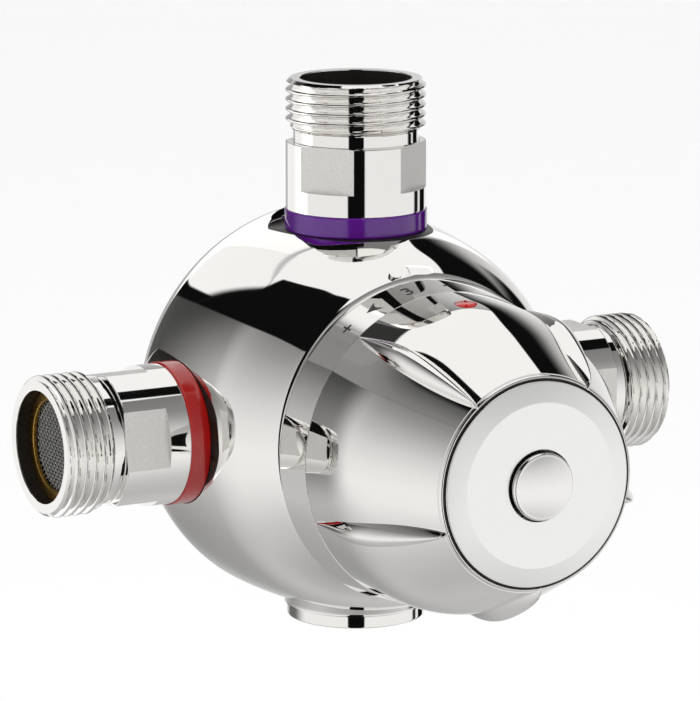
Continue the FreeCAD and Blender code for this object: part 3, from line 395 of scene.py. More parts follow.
def skin_gap(point):
    """How far a point lies from the turned outline, in millimetres."""
    local = (point - crossing - lift) / MM
    radius, height = math.hypot(local.x, local.z), -local.y
    if height < dome_edge[1]:
        return abs(math.hypot(radius, height - dome_back - dome_radius) - dome_radius)
    if height < -WIDEST_BACK:
        return abs(math.hypot(radius - rear_inner, height + WIDEST_BACK) - REAR_ROUND)
    if height < side_end[1]:
        middle = BODY_RADIUS - SIDE_ROUND
        return abs(math.hypot(radius - middle, height + WIDEST_BACK) - SIDE_ROUND)
    return abs(math.hypot(radius - shoulder_middle[0], height - shoulder_middle[1])
               - SHOULDER_ROUND)


on_skin = [v.index for v in valve_body.data.vertices if skin_gap(v.co) < SKIN_TOLERANCE]
skin.add(on_skin, 1.0, "REPLACE")
transfer = valve_body.modifiers.new("shading", "DATA_TRANSFER")
transfer.object = uncut_body
transfer.use_loop_data = True
transfer.data_types_loops = {"CUSTOM_NORMAL"}
transfer.loop_mapping = "POLYINTERP_NEAREST"
transfer.vertex_group = "skin"
bpy.ops.object.modifier_apply(modifier="shading")
bpy.data.objects.remove(uncut_body)
finish_piece(valve_body, "valve", "chrome", chrome, "valve_body")

# Painted shade: a near-black, slightly clouded finish stands in for the shadow inside the ports,
# on the level port faces under the rings, in the union mouths and in the gap round the cap
finish = Finish("painted_recess_shade_finish", Metallic=0.6)
cloud = finish.clouded(0.002, 3.0, (0.03, 0.026, 0.022), (0.012, 0.01, 0.009), 0.00002)
finish.feed(Roughness=0.4 + 0.15 * cloud)
painted_recess_shade = finish.material
valve_body.data.materials.append(painted_recess_shade)
port_axes = {way: WAYS[way][1].to_3x3() @ Vector((0, 0, 1)) for way in PORTS}
LEVEL_WITHIN, UPRIGHT_DOT, BORE_TOLERANCE = 0.01, 0.999, 0.05
# The level port faces and the bore walls of the body take the painted shade
for face in valve_body.data.polygons:
    for way, axis in port_axes.items():
        local = (face.center - WAYS[way][0]) / MM
        height = local.dot(axis)
        radius = (local - axis * height).length
        at_face = abs(height - PORT_FACE) < LEVEL_WITHIN
        level = at_face and face.normal.dot(axis) > UPRIGHT_DOT
        in_bore = radius < PORT_RADIUS + BORE_TOLERANCE and height > PORT_FLOOR - BORE_TOLERANCE
        if level or in_bore:
            face.material_index = 1

# Index stud: a small plated pin pressed into the shoulder of the body, just behind the knob.
# The scale on the knob's band is read against it.
paint(nodes["index_stud"], chrome)


# Screwed unions: turned from brass bar and plated. Each has a parallel pipe thread with an
# undercut below it, four milled wrench flats that stay dull, a mouth that seats a washer, and
# a spigot that screws into the body. The inlets have a strainer in the mouth.
THREAD_RADIUS, THREAD_LENGTH, THREAD_PITCH, THREAD_DEPTH = 13.22, 9.6, 1.814, 1.16
THREAD_CHAMFER = 0.9
NECK_RADIUS, NECK_LENGTH = 11.75, 2.3
BARREL_RADIUS, RING_HEIGHT = 13.2, 3.9
WRENCH_WIDTH, FLAT_LENGTH = 24.0, 8.6
MOUTH_RADIUS, MOUTH_DEPTH = 10.5, 3.4
UNION_BORE, THROAT_RADIUS, BORE_FLOOR = 9.2, 7.0, 37.8
SPIGOT_RADIUS, SPIGOT_END = 10.45, 27.0
SEAL_HEIGHT, SEAL_HALF, GROOVE_RADIUS = 32.2, 0.9, 8.9
THREAD_ROWS, THREAD_RUN_OUT, ROUNDNESS = 110, 0.5, 0.75
UNION_STEPS, UNION_CORNER = 192, 0.2
CUTTER_DEPTH, CUTTER_PAST = 3, 0.3
WRENCH_TURNS = {"hot": 9.0, "cold": 0.0, "outlet": 35.0}

reach_mm = (outlet_high.z - crossing.z) / MM
shoulder = PORT_FACE + RING_HEIGHT
thread_start = reach_mm - THREAD_LENGTH
barrel_top = thread_start - NECK_LENGTH
groove_low, groove_high = SEAL_HEIGHT - SEAL_HALF, SEAL_HEIGHT + SEAL_HALF
spigot = [(SPIGOT_RADIUS, SPIGOT_END), (SPIGOT_RADIUS, groove_low), (GROOVE_RADIUS, groove_low),
          (GROOVE_RADIUS, groove_high), (SPIGOT_RADIUS, groove_high)]


NEAR_AXIS, NEARLY_STRAIGHT = 0.01, 0.985
LONGEST_SHARE, SUPPORT_SHARE = 2.6, 0.25


def eased(outline, corner, count=4):
    """The closed outline with each of its corners rounded over a small distance.

    A close point before and after each corner keeps the shading of long faces straight.
    """
    points = [Vector(point) for point in outline]
    rounded = []
    for i, point in enumerate(points):
        before, after = points[i - 1], points[(i + 1) % len(points)]
        if point.x < NEAR_AXIS:
            rounded.append(tuple(point))
            continue
        into = (point - before).normalized()
        out = (after - point).normalized()
        if into.dot(out) > NEARLY_STRAIGHT:
            rounded.append(tuple(point))
            continue
        back_off = min(corner, (before - point).length / LONGEST_SHARE,
                       (after - point).length / LONGEST_SHARE)
        start = point - into * back_off
        end = point + out * back_off
        rounded.append(tuple(start - into * back_off * SUPPORT_SHARE))
        for step in range(count + 1):
            share = step / count
            first = start.lerp(point, share)
            second = point.lerp(end, share)
            rounded.append(tuple(first.lerp(second, share)))
        rounded.append(tuple(end + out * back_off * SUPPORT_SHARE))
    return rounded


# Milled wrench flats under the plating: dull, with fine cutter marks across
finish = Finish("milled_flats", Metallic=0.35)
fine = finish.noise(0.0004, detail=5.0, scale=(1, 1, 6))
finish.feed(Roughness=0.4 + 0.16 * fine)
finish.feed(Base_Color=finish.mix(fine, (0.82, 0.81, 0.79, 1), (0.40, 0.39, 0.37, 1)))
finish.relief(fine, 0.00004)
flat_chrome = finish.material


def thread_radius(height, turn):
    """Radius of the pipe thread: rounded crests and roots, fading at the chamfered end."""
    wave = 0.5 + 0.5 * math.cos(2 * math.pi * (height / THREAD_PITCH - turn))
    profile = THREAD_RADIUS - THREAD_DEPTH * (1 - wave ** ROUNDNESS)
    from_end = reach_mm - height
    cone = THREAD_RADIUS - THREAD_CHAMFER * (1 - min(from_end / THREAD_CHAMFER, 1))
    from_neck = max(height - thread_start, 0) / (THREAD_RUN_OUT * THREAD_PITCH)
    return min(profile, cone) if from_neck > 1 else min(
        cone, NECK_RADIUS + (profile - NECK_RADIUS) * from_neck)


def union_piece(way):
    rows = [thread_start + (THREAD_LENGTH - 0.02) * i / THREAD_ROWS
            for i in range(THREAD_ROWS + 1)]
    outline = [(THROAT_RADIUS, SPIGOT_END)] + spigot + [
        (SPIGOT_RADIUS, shoulder), (BARREL_RADIUS, shoulder), (BARREL_RADIUS, barrel_top),
        (NECK_RADIUS, barrel_top), (NECK_RADIUS, thread_start),
    ] + [(THREAD_RADIUS, row) for row in rows] + [
        (THREAD_RADIUS - THREAD_CHAMFER, reach_mm), (MOUTH_RADIUS, reach_mm),
        (MOUTH_RADIUS, reach_mm - MOUTH_DEPTH), (UNION_BORE, reach_mm - MOUTH_DEPTH),
        (UNION_BORE, BORE_FLOOR), (THROAT_RADIUS, BORE_FLOOR),
    ]
    piece = turned_piece(way + "_union_piece", eased(outline, UNION_CORNER), UNION_STEPS)
    for vertex in piece.data.vertices:
        radius = math.hypot(vertex.co.x, vertex.co.y)
        if thread_start - 0.01 < vertex.co.z < reach_mm - 0.01 and radius > NECK_RADIUS + 0.3:
            turn = math.atan2(vertex.co.y, vertex.co.x) / (2 * math.pi)
            share = thread_radius(vertex.co.z, turn) / radius
            vertex.co.x *= share
            vertex.co.y *= share
    for quarter in range(4):
        bpy.ops.object.select_all(action="DESELECT")
        bpy.ops.mesh.primitive_cube_add(size=1)
        cutter = bpy.context.object
        low = Vector((WRENCH_WIDTH / 2, -BARREL_RADIUS, barrel_top - FLAT_LENGTH))
        size = Vector((CUTTER_DEPTH, 2 * BARREL_RADIUS, FLAT_LENGTH + CUTTER_PAST))
        turned = Matrix.Rotation(math.radians(90 * quarter + WRENCH_TURNS[way]), 4, "Z")
        cutter.data.transform(turned @ Matrix.Translation(low + size / 2)
                              @ Matrix.Diagonal(size).to_4x4())
        join_solid(piece, cutter)
    smooth(piece, 22)
    return piece


FLAT_TURN_WITHIN, FLAT_WITHIN_PLANE = 0.2, 0.02


def mark_faces(piece, way):
    """The milled flats take a second, dull material, and the walls of the bore the painted shade,
    for the shadow inside the mouth.
    """
    for material in (chrome, flat_chrome, painted_recess_shade):
        piece.data.materials.append(material)
    for face in piece.data.polygons:
        centre, normal = face.center, face.normal
        facing = centre.xy.dot(normal.xy)
        in_mouth = BORE_FLOOR - 0.1 < centre.z < reach_mm - THREAD_CHAMFER
        # Painted shade on the inward walls of the mouth and bore
        if facing < -0.1 and in_mouth and centre.xy.length < MOUTH_RADIUS + 0.05:
            face.material_index = 2
        turn = math.degrees(math.atan2(normal.y, normal.x)) - WRENCH_TURNS[way]
        square = abs((turn + 45) % 90 - 45) < FLAT_TURN_WITHIN and abs(normal.z) < 0.01
        beside = barrel_top - FLAT_LENGTH < centre.z < barrel_top
        in_plane = abs(facing - WRENCH_WIDTH / 2) < FLAT_WITHIN_PLANE
        if square and beside and in_plane and centre.xy.length < BARREL_RADIUS - 0.05:
            face.material_index = 1


unions = []
for way in ("hot", "cold", "outlet"):
    union = union_piece(way)
    unions.append(union)
    mark_faces(union, way)
    set_in_place(union, way)
    finish_piece(union, "valve", "chrome", None, way + "_union")


# Coloured rings: moulded plastic collars that mark the hot, cold and mixed ports, held
# between union and body. They have a glossy skin and a small radius on each edge.
RING_RADIUS, RING_INNER, RING_CORNER = 13.45, 10.6, 0.3
RING_COLOURS = {
    "hot": ("hot_ring", "red_plastic", (0.32, 0.006, 0.005, 1)),
    "cold": ("cold_ring", "blue_plastic", (0.008, 0.05, 0.34, 1)),
    "outlet": ("outlet_ring", "purple_plastic", (0.085, 0.004, 0.20, 1)),
}


def moulded_plastic(name, colour, roughness=0.15):
    """Glossy coloured plastic with slight flow marks in the pigment and a soft orange peel."""
    finish = Finish(name, Roughness=roughness, IOR=1.5, Coat_Weight=0.5)
    cloud = finish.noise(0.004, detail=3.0)
    darker = tuple(0.8 * part for part in colour[:3]) + (1,)
    finish.feed(Base_Color=finish.mix(cloud, colour, darker))
    finish.feed(Roughness=roughness - 0.05 + 0.1 * cloud)
    finish.relief(finish.noise(0.0009, detail=2.0), 0.000006)
    return finish.material


for way, (node, slot, colour) in RING_COLOURS.items():
    ring = turned_piece(node + "_piece", eased([
        (RING_INNER, PORT_FACE), (RING_RADIUS, PORT_FACE), (RING_RADIUS, shoulder),
        (RING_INNER, shoulder)], RING_CORNER), UNION_STEPS)
    set_in_place(ring, way)
    smooth(ring, 30)
    finish_piece(ring, "valve", slot, moulded_plastic(node + "_plastic", colour), node)


# Strainers: in the mouth of each inlet a woven stainless disc lies behind a brass ring. The
# weave is plain, one wire over and one under.
MESH_PITCH, MESH_WIRE, MESH_RADIUS = 0.68, 0.16, 9.1
MESH_LIFT, MESH_UNDER_RIM = 2.1, 0.32
STRAINER_HOLE, STRAINER_THICK, STRAINER_GAP, STRAINER_CORNER = 8.45, 0.8, 0.06, 0.2
strainer_seat = reach_mm - MOUTH_DEPTH

# Bright turned brass with fine turning marks and a warm, slightly uneven tone
finish = Finish("turned_brass", Metallic=1.0)
cloud = finish.clouded(0.002, 3.0, (0.68, 0.42, 0.10), (0.50, 0.29, 0.06))
finish.feed(Roughness=0.22 + 0.12 * cloud)
finish.relief(finish.noise(0.0003, detail=3.0), 0.00001)
bright_brass = finish.material

# Drawn stainless wire, a little dull
finish = Finish("woven_steel", Metallic=1.0)
cloud = finish.clouded(0.001, 2.0, (0.42, 0.41, 0.40), (0.2, 0.2, 0.19))
finish.feed(Roughness=0.28 + 0.1 * cloud)
finish.relief(finish.noise(0.0004, detail=2.0), 0.000005)
wire_steel = finish.material


def woven_disc(name):
    """A round piece of plain weave, cut to a circle, about its own Z."""
    curve = bpy.data.curves.new(name, "CURVE")
    curve.dimensions = "3D"
    curve.bevel_depth = MESH_WIRE
    curve.bevel_resolution = 1
    curve.resolution_u = 2
    count = int(MESH_RADIUS / MESH_PITCH)
    for along in (0, 1):
        for line in range(-count, count + 1):
            across = line * MESH_PITCH
            half = math.sqrt(max(MESH_RADIUS ** 2 - across ** 2, 0.1))
            steps = int(half / MESH_PITCH)
            spots = [i * MESH_PITCH for i in range(-steps, steps + 1)]
            if len(spots) < 3:
                continue
            wire = curve.splines.new("NURBS")
            wire.points.add(len(spots) - 1)
            for i, spot in enumerate(spots):
                side = (i - steps + line + along) % 2 * 2 - 1
                height = side * MESH_WIRE * MESH_LIFT
                point = (spot, across, height) if along else (across, spot, height)
                wire.points[i].co = point + (1,)
            wire.order_u = 3
            wire.use_endpoint_u = True
    holder = bpy.data.objects.new(name, curve)
    bpy.context.scene.collection.objects.link(holder)
    pick(holder)
    bpy.ops.object.convert(target="MESH")
    return bpy.context.object


for way in ("hot", "cold"):
    weave = woven_disc(way + "_strainer_weave")
    weave.data.transform(Matrix.Translation((0, 0, strainer_seat - MESH_UNDER_RIM)))
    set_in_place(weave, way)
    smooth(weave, 60)
    finish_piece(weave, "valve", "mesh_steel", wire_steel, way + "_strainer_mesh")
    rim_radius, rim_top = MOUTH_RADIUS - STRAINER_GAP, strainer_seat + STRAINER_THICK
    rim = turned_piece(way + "_strainer_rim", eased([
        (STRAINER_HOLE, strainer_seat), (rim_radius, strainer_seat), (rim_radius, rim_top),
        (STRAINER_HOLE, rim_top)], STRAINER_CORNER))
    set_in_place(rim, way)
    smooth(rim, 30)
    finish_piece(rim, "valve", "brass", bright_brass, way + "_strainer_ring")


# Blanking plug: a turned and plated plug screwed into the fourth port, underneath, with a
# hexagon socket in its face.
PLUG_RADIUS, PLUG_HEAD, PLUG_CORNER = 13.1, 2.5, 0.3
PLUG_SOCKET, PLUG_SOCKET_DEPTH = 10.0, 5.0
plug_face = PORT_FACE + PLUG_HEAD
plug = turned_piece("blanking_plug_piece", eased([
    (0, SPIGOT_END)] + spigot + [(SPIGOT_RADIUS, PORT_FACE),
    (PLUG_RADIUS, PORT_FACE), (PLUG_RADIUS, plug_face), (0, plug_face)], PLUG_CORNER), UNION_STEPS)
bpy.ops.object.select_all(action="DESELECT")
bpy.ops.mesh.primitive_cylinder_add(
    vertices=6, radius=PLUG_SOCKET / math.sqrt(3), depth=2 * PLUG_SOCKET_DEPTH,
    location=(0, 0, plug_face))
join_solid(plug, bpy.context.object)
set_in_place(plug, "plug")
smooth(plug, 25)
finish_piece(plug, "valve", "chrome", chrome, "blanking_plug")


# Knob: a cast and plated shell that turns on the spindle. Behind is a plain band that carries
# the scale; the crown is a smooth dome with five leaf-shaped finger ribs, pointed at both ends
# and highest near the front; the front is recessed for the satin cap.
KNOB_BACK, RIM_RADIUS, RIM_ROUND = 28.8, 30.5, 0.8
BAND_RADIUS, BAND_FRONT = 29.4, 37.5
CROWN_FRONT, CROWN_EDGE, CROWN_BULGE = 69.6, 19.58, 0.4
RIBS, FIRST_RIB, RIB_HALF, RIB_RISE = 5, -39.1, 5.3, 2.4
KNOB_WALL, HOLLOW_MIDDLE, HOLLOW_END, HOLLOW_BEND = 2.4, 25.6, 22.8, 7
KNOB_CORNER = 0.25
WEB_SEAT, WEB_THICK, WEB_BORE, CAVITY_RADIUS = 52.5, 2.5, 5.0, 16.5
CAP_SEAT, CAP_RADIUS, FIT_GAP = 66.6, 18.7, 0.06
EDGE_FLARE, CROWN_ROWS = 0.1, 90
RIB_COLUMNS, PANEL_COLUMNS = 26, 50
CROWN_START, CROWN_TAPER, CROWN_FALL = 29.33, 2.6, 13.0
BEND_START, BEND_LENGTH, FRONT_ROUND = 0.2, 0.5, 0.6


def crown_radius(share):
    """A slow cone that bends over a part of its length into a steeper one."""
    bend = min(max((share - BEND_START) / BEND_LENGTH, 0), 1)
    fallen = BEND_LENGTH * (bend ** 3 - bend ** 4 / 2)
    fallen += max(share - BEND_START - BEND_LENGTH, 0)
    return CROWN_START - CROWN_TAPER * share - CROWN_FALL * fallen


WIDTH_LEAN, WIDTH_FULLNESS, NARROWEST = 1.367, 0.552, 0.4
RISE_LEAN, RISE_FULLNESS, LOWEST = 2.196, 0.344, 0.03


def leaf(share):
    """Half width in degrees and rise of a finger rib at a share of the crown's length."""
    width = max(math.sin(math.pi * share ** WIDTH_LEAN), 0.0) ** WIDTH_FULLNESS
    raised = max(math.sin(math.pi * share ** RISE_LEAN), 0.0) ** RISE_FULLNESS
    return max(RIB_HALF * width, NARROWEST), max(RIB_RISE * raised, LOWEST)


crown_rows = [(1 - math.cos(math.pi * i / CROWN_ROWS)) / 2 for i in range(CROWN_ROWS + 1)]
crown_outline = [(crown_radius(share), BAND_FRONT + share * (CROWN_FRONT - BAND_FRONT))
                 for share in crown_rows]
crown_outline = [(radius, height) for radius, height in crown_outline
                 if height < CROWN_FRONT - FRONT_ROUND]
crown_outline += arc((CROWN_EDGE + EDGE_FLARE, CROWN_FRONT - FRONT_ROUND),
                     (CROWN_EDGE + EDGE_FLARE - FRONT_ROUND, CROWN_FRONT), FRONT_ROUND, 8)
recess_radius = CAP_RADIUS + FIT_GAP
knob_outline = [
    (RIM_RADIUS - KNOB_WALL, KNOB_BACK), (RIM_RADIUS - RIM_ROUND, KNOB_BACK),
    (RIM_RADIUS, KNOB_BACK + RIM_ROUND), (BAND_RADIUS, BAND_FRONT)] + crown_outline + [
    (recess_radius, CROWN_FRONT), (recess_radius, CAP_SEAT), (CAVITY_RADIUS, CAP_SEAT),
    (CAVITY_RADIUS, WEB_SEAT + WEB_THICK), (WEB_BORE, WEB_SEAT + WEB_THICK),
    (WEB_BORE, WEB_SEAT), (HOLLOW_END, WEB_SEAT), (HOLLOW_MIDDLE, BAND_FRONT + HOLLOW_BEND),
    (BAND_RADIUS - KNOB_WALL, BAND_FRONT)]
knob_outline = eased(knob_outline, KNOB_CORNER)
knob_columns = RIBS * (RIB_COLUMNS + PANEL_COLUMNS)
knob = turned_piece("knob_shell", knob_outline, knob_columns)
sector = 360.0 / RIBS
column_angle = 360.0 / knob_columns
for vertex in knob.data.vertices:
    share = (vertex.co.z - BAND_FRONT) / (CROWN_FRONT - BAND_FRONT)
    radius = math.hypot(vertex.co.x, vertex.co.y)
    column = math.degrees(math.atan2(vertex.co.x, vertex.co.y)) % 360.0 / column_angle
    number, inside = divmod(round(column), RIB_COLUMNS + PANEL_COLUMNS)
    # The columns gather on the ribs, and run along their edges
    at = min(max(share, 0.0), 1.0)
    half, rise = leaf(at)
    if inside <= RIB_COLUMNS:
        part = 2 * inside / RIB_COLUMNS - 1
        turn = half * part
        extra = rise * (1 - part ** 2)
    else:
        part = 2 * (inside - RIB_COLUMNS) / PANEL_COLUMNS - 1
        turn = sector / 2 + (sector / 2 - half) * part
        extra = CROWN_BULGE * math.sin(math.pi * at) * (1 - part ** 2)
    outer = 0.0 < share < 1.0 and radius > crown_radius(at) - FRONT_ROUND - 0.05
    if not outer:
        extra = 0.0
    angle = math.radians(FIRST_RIB + sector * number + turn)
    vertex.co.x = (radius + extra) * math.sin(angle)
    vertex.co.y = (radius + extra) * math.cos(angle)
knob.data.update()
edit(knob)
bpy.ops.mesh.normals_make_consistent(inside=False)
leave()
set_in_place(knob, "knob")
smooth(knob, 32)
finish_piece(knob, "turning_knob", "chrome", chrome, "knob")


# Scale on the knob's band: a plus, an arrow and plain numbers, filled with dark enamel. Each
# mark is cut as a thin plate and wrapped on the band.
MARK_SIZE, MARK_THICK = 4.4, 0.05
MARKS = (("+", -38.0), ("arrow", -26.5), ("3", -11.5), ("-", 3.5))

# Black stoving enamel, slightly uneven where it fills the marks
finish = Finish("scale_enamel", Roughness=0.4)
finish.clouded(0.0008, 2.0, (0.012, 0.012, 0.014), (0.03, 0.03, 0.03), 0.00001)
black_enamel = finish.material


def arrow_mark():
    """A slim arrowhead, its point at the left."""
    bpy.ops.object.select_all(action="DESELECT")
    bpy.ops.mesh.primitive_plane_add(size=1)
    piece = bpy.context.object
    corners = ((-0.3, 0), (0.32, -0.34), (0.32, 0.34), (0.12, 0))
    for vertex, (x, y) in zip(piece.data.vertices, corners):
        vertex.co = Vector((x, y, 0))
    return piece


def text_mark(letter):
    """A plain figure as a flat mesh about its own centre."""
    bpy.ops.object.select_all(action="DESELECT")
    bpy.ops.object.text_add()
    piece = bpy.context.object
    piece.data.body = letter
    piece.data.size = 1.0
    piece.data.align_x = "CENTER"
    piece.data.align_y = "CENTER"
    piece.data.resolution_u = 6
    bpy.ops.object.convert(target="MESH")
    return bpy.context.object


for number, (letter, turned) in enumerate(MARKS):
    mark = arrow_mark() if letter == "arrow" else text_mark(letter)
    mark.name = "scale_mark_%d" % number
    edit(mark)
    bpy.ops.mesh.remove_doubles(threshold=0.0001)
    bpy.ops.mesh.subdivide(number_cuts=2)
    bpy.ops.mesh.select_all(action="SELECT")
    bpy.ops.mesh.extrude_region_move(
        TRANSFORM_OT_translate={"value": Vector((0, 0, 2 * MARK_THICK / MARK_SIZE))})
    bpy.ops.mesh.select_all(action="SELECT")
    bpy.ops.mesh.normals_make_consistent(inside=False)
    leave()
    middle = (KNOB_BACK + RIM_ROUND + BAND_FRONT) / 2
    for vertex in mark.data.vertices:
        across, up, out = (part * MARK_SIZE for part in vertex.co)
        height = middle - up
        share = (height - KNOB_BACK - RIM_ROUND) / (BAND_FRONT - KNOB_BACK - RIM_ROUND)
        radius = RIM_RADIUS + (BAND_RADIUS - RIM_RADIUS) * share + out - MARK_THICK
        angle = math.radians(turned) + across / radius
        vertex.co = Vector((radius * math.sin(angle), radius * math.cos(angle), height))
    set_in_place(mark, "knob")
    smooth(mark, 40)
    finish_piece(mark, "turning_knob", "black_plastic", black_enamel)


# Index dot: a bead of red enamel in a round pocket of the crown, between two ribs. It stands
# slightly proud of the plating.
DOT_FORWARD, DOT_TURN, DOT_RADIUS, DOT_DEPTH, DOT_RISE = 46.2, -2.2, 2.1, 0.9, 0.22
DOT_GAP, DOT_STEP, DOT_SHARE_STEP = 0.04, 0.02, 0.02
DOT_SEAT = CROWN_BULGE * 0.62

# Stoved red enamel with a glossy, slightly domed look
finish = Finish("index_enamel", Roughness=0.12, Coat_Weight=0.6)
finish.clouded(0.0015, 2.0, (0.62, 0.02, 0.012), (0.40, 0.008, 0.006), 0.00002)
index_enamel = finish.material

dot_share = (DOT_FORWARD - BAND_FRONT) / (CROWN_FRONT - BAND_FRONT)
ahead, behind = crown_radius(dot_share + DOT_SHARE_STEP), crown_radius(dot_share - DOT_SHARE_STEP)
dot_slope = (ahead - behind) / (2 * DOT_SHARE_STEP * (CROWN_FRONT - BAND_FRONT))
dot_place = (Matrix.Rotation(-math.radians(DOT_TURN), 4, "Z")
             @ Matrix.Translation((0, crown_radius(dot_share) + DOT_SEAT, DOT_FORWARD))
             @ Matrix.Rotation(math.atan(dot_slope) - math.pi / 2, 4, "X"))
dot = turned_piece("index_dot_piece", eased([
    (0, -DOT_DEPTH), (DOT_RADIUS - DOT_GAP, -DOT_DEPTH), (DOT_RADIUS - DOT_GAP, DOT_STEP),
    (DOT_RADIUS * 0.6, DOT_RISE * 0.7), (0, DOT_RISE)], 0.08), 64)
recess = turned_piece("tool", [(0, -DOT_DEPTH - DOT_STEP), (DOT_RADIUS, -DOT_DEPTH - DOT_STEP),
                               (DOT_RADIUS, 2.5), (0, 2.5)], 64)
for piece in (dot, recess):
    piece.data.transform(dot_place)
    set_in_place(piece, "knob")
smooth(dot, 30)
finish_piece(dot, "turning_knob", "red_enamel", index_enamel, "index_dot")
join_solid(knob, recess)
smooth(knob, 32)

# Painted shade: the knob's faces round the gap to the cap take the near-black finish, for the
# shadow in the gap
GAP_WIDTH = 0.5
knob.data.materials.append(painted_recess_shade)
for face in knob.data.polygons:
    local = (face.center - crossing) / MM
    radius = math.hypot(local.x, local.z)
    if -local.y > CAP_SEAT and CAP_RADIUS - GAP_WIDTH < radius < CAP_RADIUS + GAP_WIDTH:
        face.material_index = 1


# Front cap: a turned disc with a wide bevel, satin plated, sprung into the knob's recess, with
# the guide of the push button behind it.
CAP_EDGE, CAP_FACE, CAP_BACK = 69.9, 71.0, 66.6
BEVEL_INNER, BEVEL_OUTER, BEVEL_LIFT, CAP_CORNER = 15.0, 18.3, 0.15, 0.12
CAP_PLATE, GUIDE_BACK, GUIDE_RADIUS = 2.2, 62.0, 8.6
BUTTON_HOLE, BUTTON_CAVITY = 6.55, 7.8

# Pearl satin chrome: bead-blasted before plating, so it glows softly
finish = Finish("satin_chrome", Metallic=1.0)
fine = finish.noise(0.00025, detail=4.0)
broad = finish.noise(0.02, detail=1.0)
finish.feed(Roughness=0.22 + 0.05 * fine + 0.03 * broad)
finish.feed(Base_Color=finish.mix(fine, (0.99, 0.985, 0.965, 1), (0.95, 0.945, 0.925, 1)))
finish.relief(fine, 0.000008)
satin = finish.material

cap = turned_piece("front_cap_piece", eased([
    (BUTTON_HOLE, CAP_FACE - CAP_PLATE), (BUTTON_CAVITY, CAP_FACE - CAP_PLATE),
    (BUTTON_CAVITY, GUIDE_BACK), (GUIDE_RADIUS, GUIDE_BACK), (GUIDE_RADIUS, CAP_BACK),
    (CAP_RADIUS, CAP_BACK), (CAP_RADIUS, CAP_EDGE), (BEVEL_OUTER, CAP_EDGE + BEVEL_LIFT),
    (BEVEL_INNER, CAP_FACE), (BUTTON_HOLE, CAP_FACE)], CAP_CORNER), UNION_STEPS)
set_in_place(cap, "knob")
smooth(cap, 9)
finish_piece(cap, "turning_knob", "satin", satin, "front_cap")


# Push button: a polished domed button that releases the safety stop, guided in the cap and
# kept in by a flange at its foot.
BUTTON_RADIUS, BUTTON_FACE, BUTTON_CROWN, BUTTON_ROUND = 6.15, 72.3, 1.1, 0.5
BUTTON_FLANGE, BUTTON_FOOT = 7.6, 60.5
crown_reach = BUTTON_RADIUS - BUTTON_ROUND
crown_sphere = (BUTTON_CROWN + crown_reach ** 2 / BUTTON_CROWN) / 2
button = turned_piece(
    "push_button_piece",
    [(0, BUTTON_FOOT), (BUTTON_FLANGE, BUTTON_FOOT), (BUTTON_FLANGE, GUIDE_BACK),
     (BUTTON_RADIUS, GUIDE_BACK)]
    + arc((BUTTON_RADIUS, BUTTON_FACE - BUTTON_ROUND), (crown_reach, BUTTON_FACE),
          BUTTON_ROUND, 8)
    + arc((crown_reach, BUTTON_FACE), (0, BUTTON_FACE + BUTTON_CROWN), crown_sphere, 24)[1:],
    UNION_STEPS)
set_in_place(button, "knob")
smooth(button, 30)
button_chrome = polished_chrome("button_chrome", (0.95, 0.94, 0.92, 1), 0.02)
finish_piece(button, "button", "polished_button", button_chrome, "push_button")


# Inner parts: cartridge, overload unit, seals, springs and non-return valves. Only the cages
# show, through the woven discs, and the rest is there for whoever takes the valve apart.

# Black seal rubber with a fine matt grain
finish = Finish("seal_black", Roughness=0.6)
finish.clouded(0.0005, 3.0, (0.012, 0.012, 0.012), (0.04, 0.04, 0.04), 0.00001)
seal_black = finish.material

# Copper casing of the sensing element, drawn and a little tarnished
finish = Finish("element_copper", Metallic=1.0)
cloud = finish.clouded(0.003, 4.0, (0.80, 0.36, 0.20), (0.45, 0.18, 0.09), 0.00001)
finish.feed(Roughness=0.25 + 0.2 * cloud)
element_copper = finish.material

INNER_FINISHES = (
    (bright_brass, ("cartridge_sleeve", "bonnet_nut", "spindle", "shuttle", "hot_seat",
                    "overload_cup")),
    (wire_steel, ("return_spring", "overload_spring", "button_spring", "hot_check_spring",
                  "cold_check_spring", "hub_screw", "overload_clip", "overload_plunger")),
    (seal_black, ("hot_seal", "cold_seal", "outlet_seal", "plug_seal", "sleeve_seals",
                  "spindle_seal")),
    (moulded_plastic("cage_grey", (0.03, 0.03, 0.03, 1), 0.4),
     ("hot_check_cage", "cold_check_cage")),
    (moulded_plastic("poppet_black", (0.02, 0.02, 0.02, 1), 0.35),
     ("hot_check_poppet", "cold_check_poppet", "knob_hub", "stop_ring")),
    (element_copper, ("wax_element",)),
)
for material, names in INNER_FINISHES:
    for name in names:
        paint(nodes[name], material)


# Studio: a white room with a white ceiling, a long black flag at the left, one at the right
# that droops backwards, and a dark upright beside the camera. The chrome reflects all this, and
# the matt parts see even, soft light. Clear domes add what only the knob, body or unions see.
FLOOR_DROP, FLOOR_SIZE = 0.35, 14
bpy.ops.object.select_all(action="DESELECT")
bpy.ops.mesh.primitive_plane_add(size=FLOOR_SIZE, location=(0, 0, crossing.z - FLOOR_DROP))
floor = bpy.context.object
floor.name = "studio_floor"
floor.visible_glossy = False
floor_finish = Finish("floor_paper", Roughness=0.9)
floor_cloud = floor_finish.noise(0.05, detail=2.0)
floor_finish.feed(Base_Color=floor_finish.mix(floor_cloud, (1, 1, 1, 1), (0.99, 0.99, 0.99, 1)))
floor.data.materials.append(floor_finish.material)


FLAG_START, FLAG_END = -157.0, -31.0
FOOT_MIDDLE, FOOT_HEIGHT, FOOT_SPREAD = -88.0, 43.0, 15.5
HEAD_MIDDLE, HEAD_HEIGHT, HEAD_SPREAD = -70.0, 76.0, 29.3
RAIL_LOW, RAIL_HIGH, RAIL_START, RAIL_END = 54.5, 65.5, 64.0, 97.0


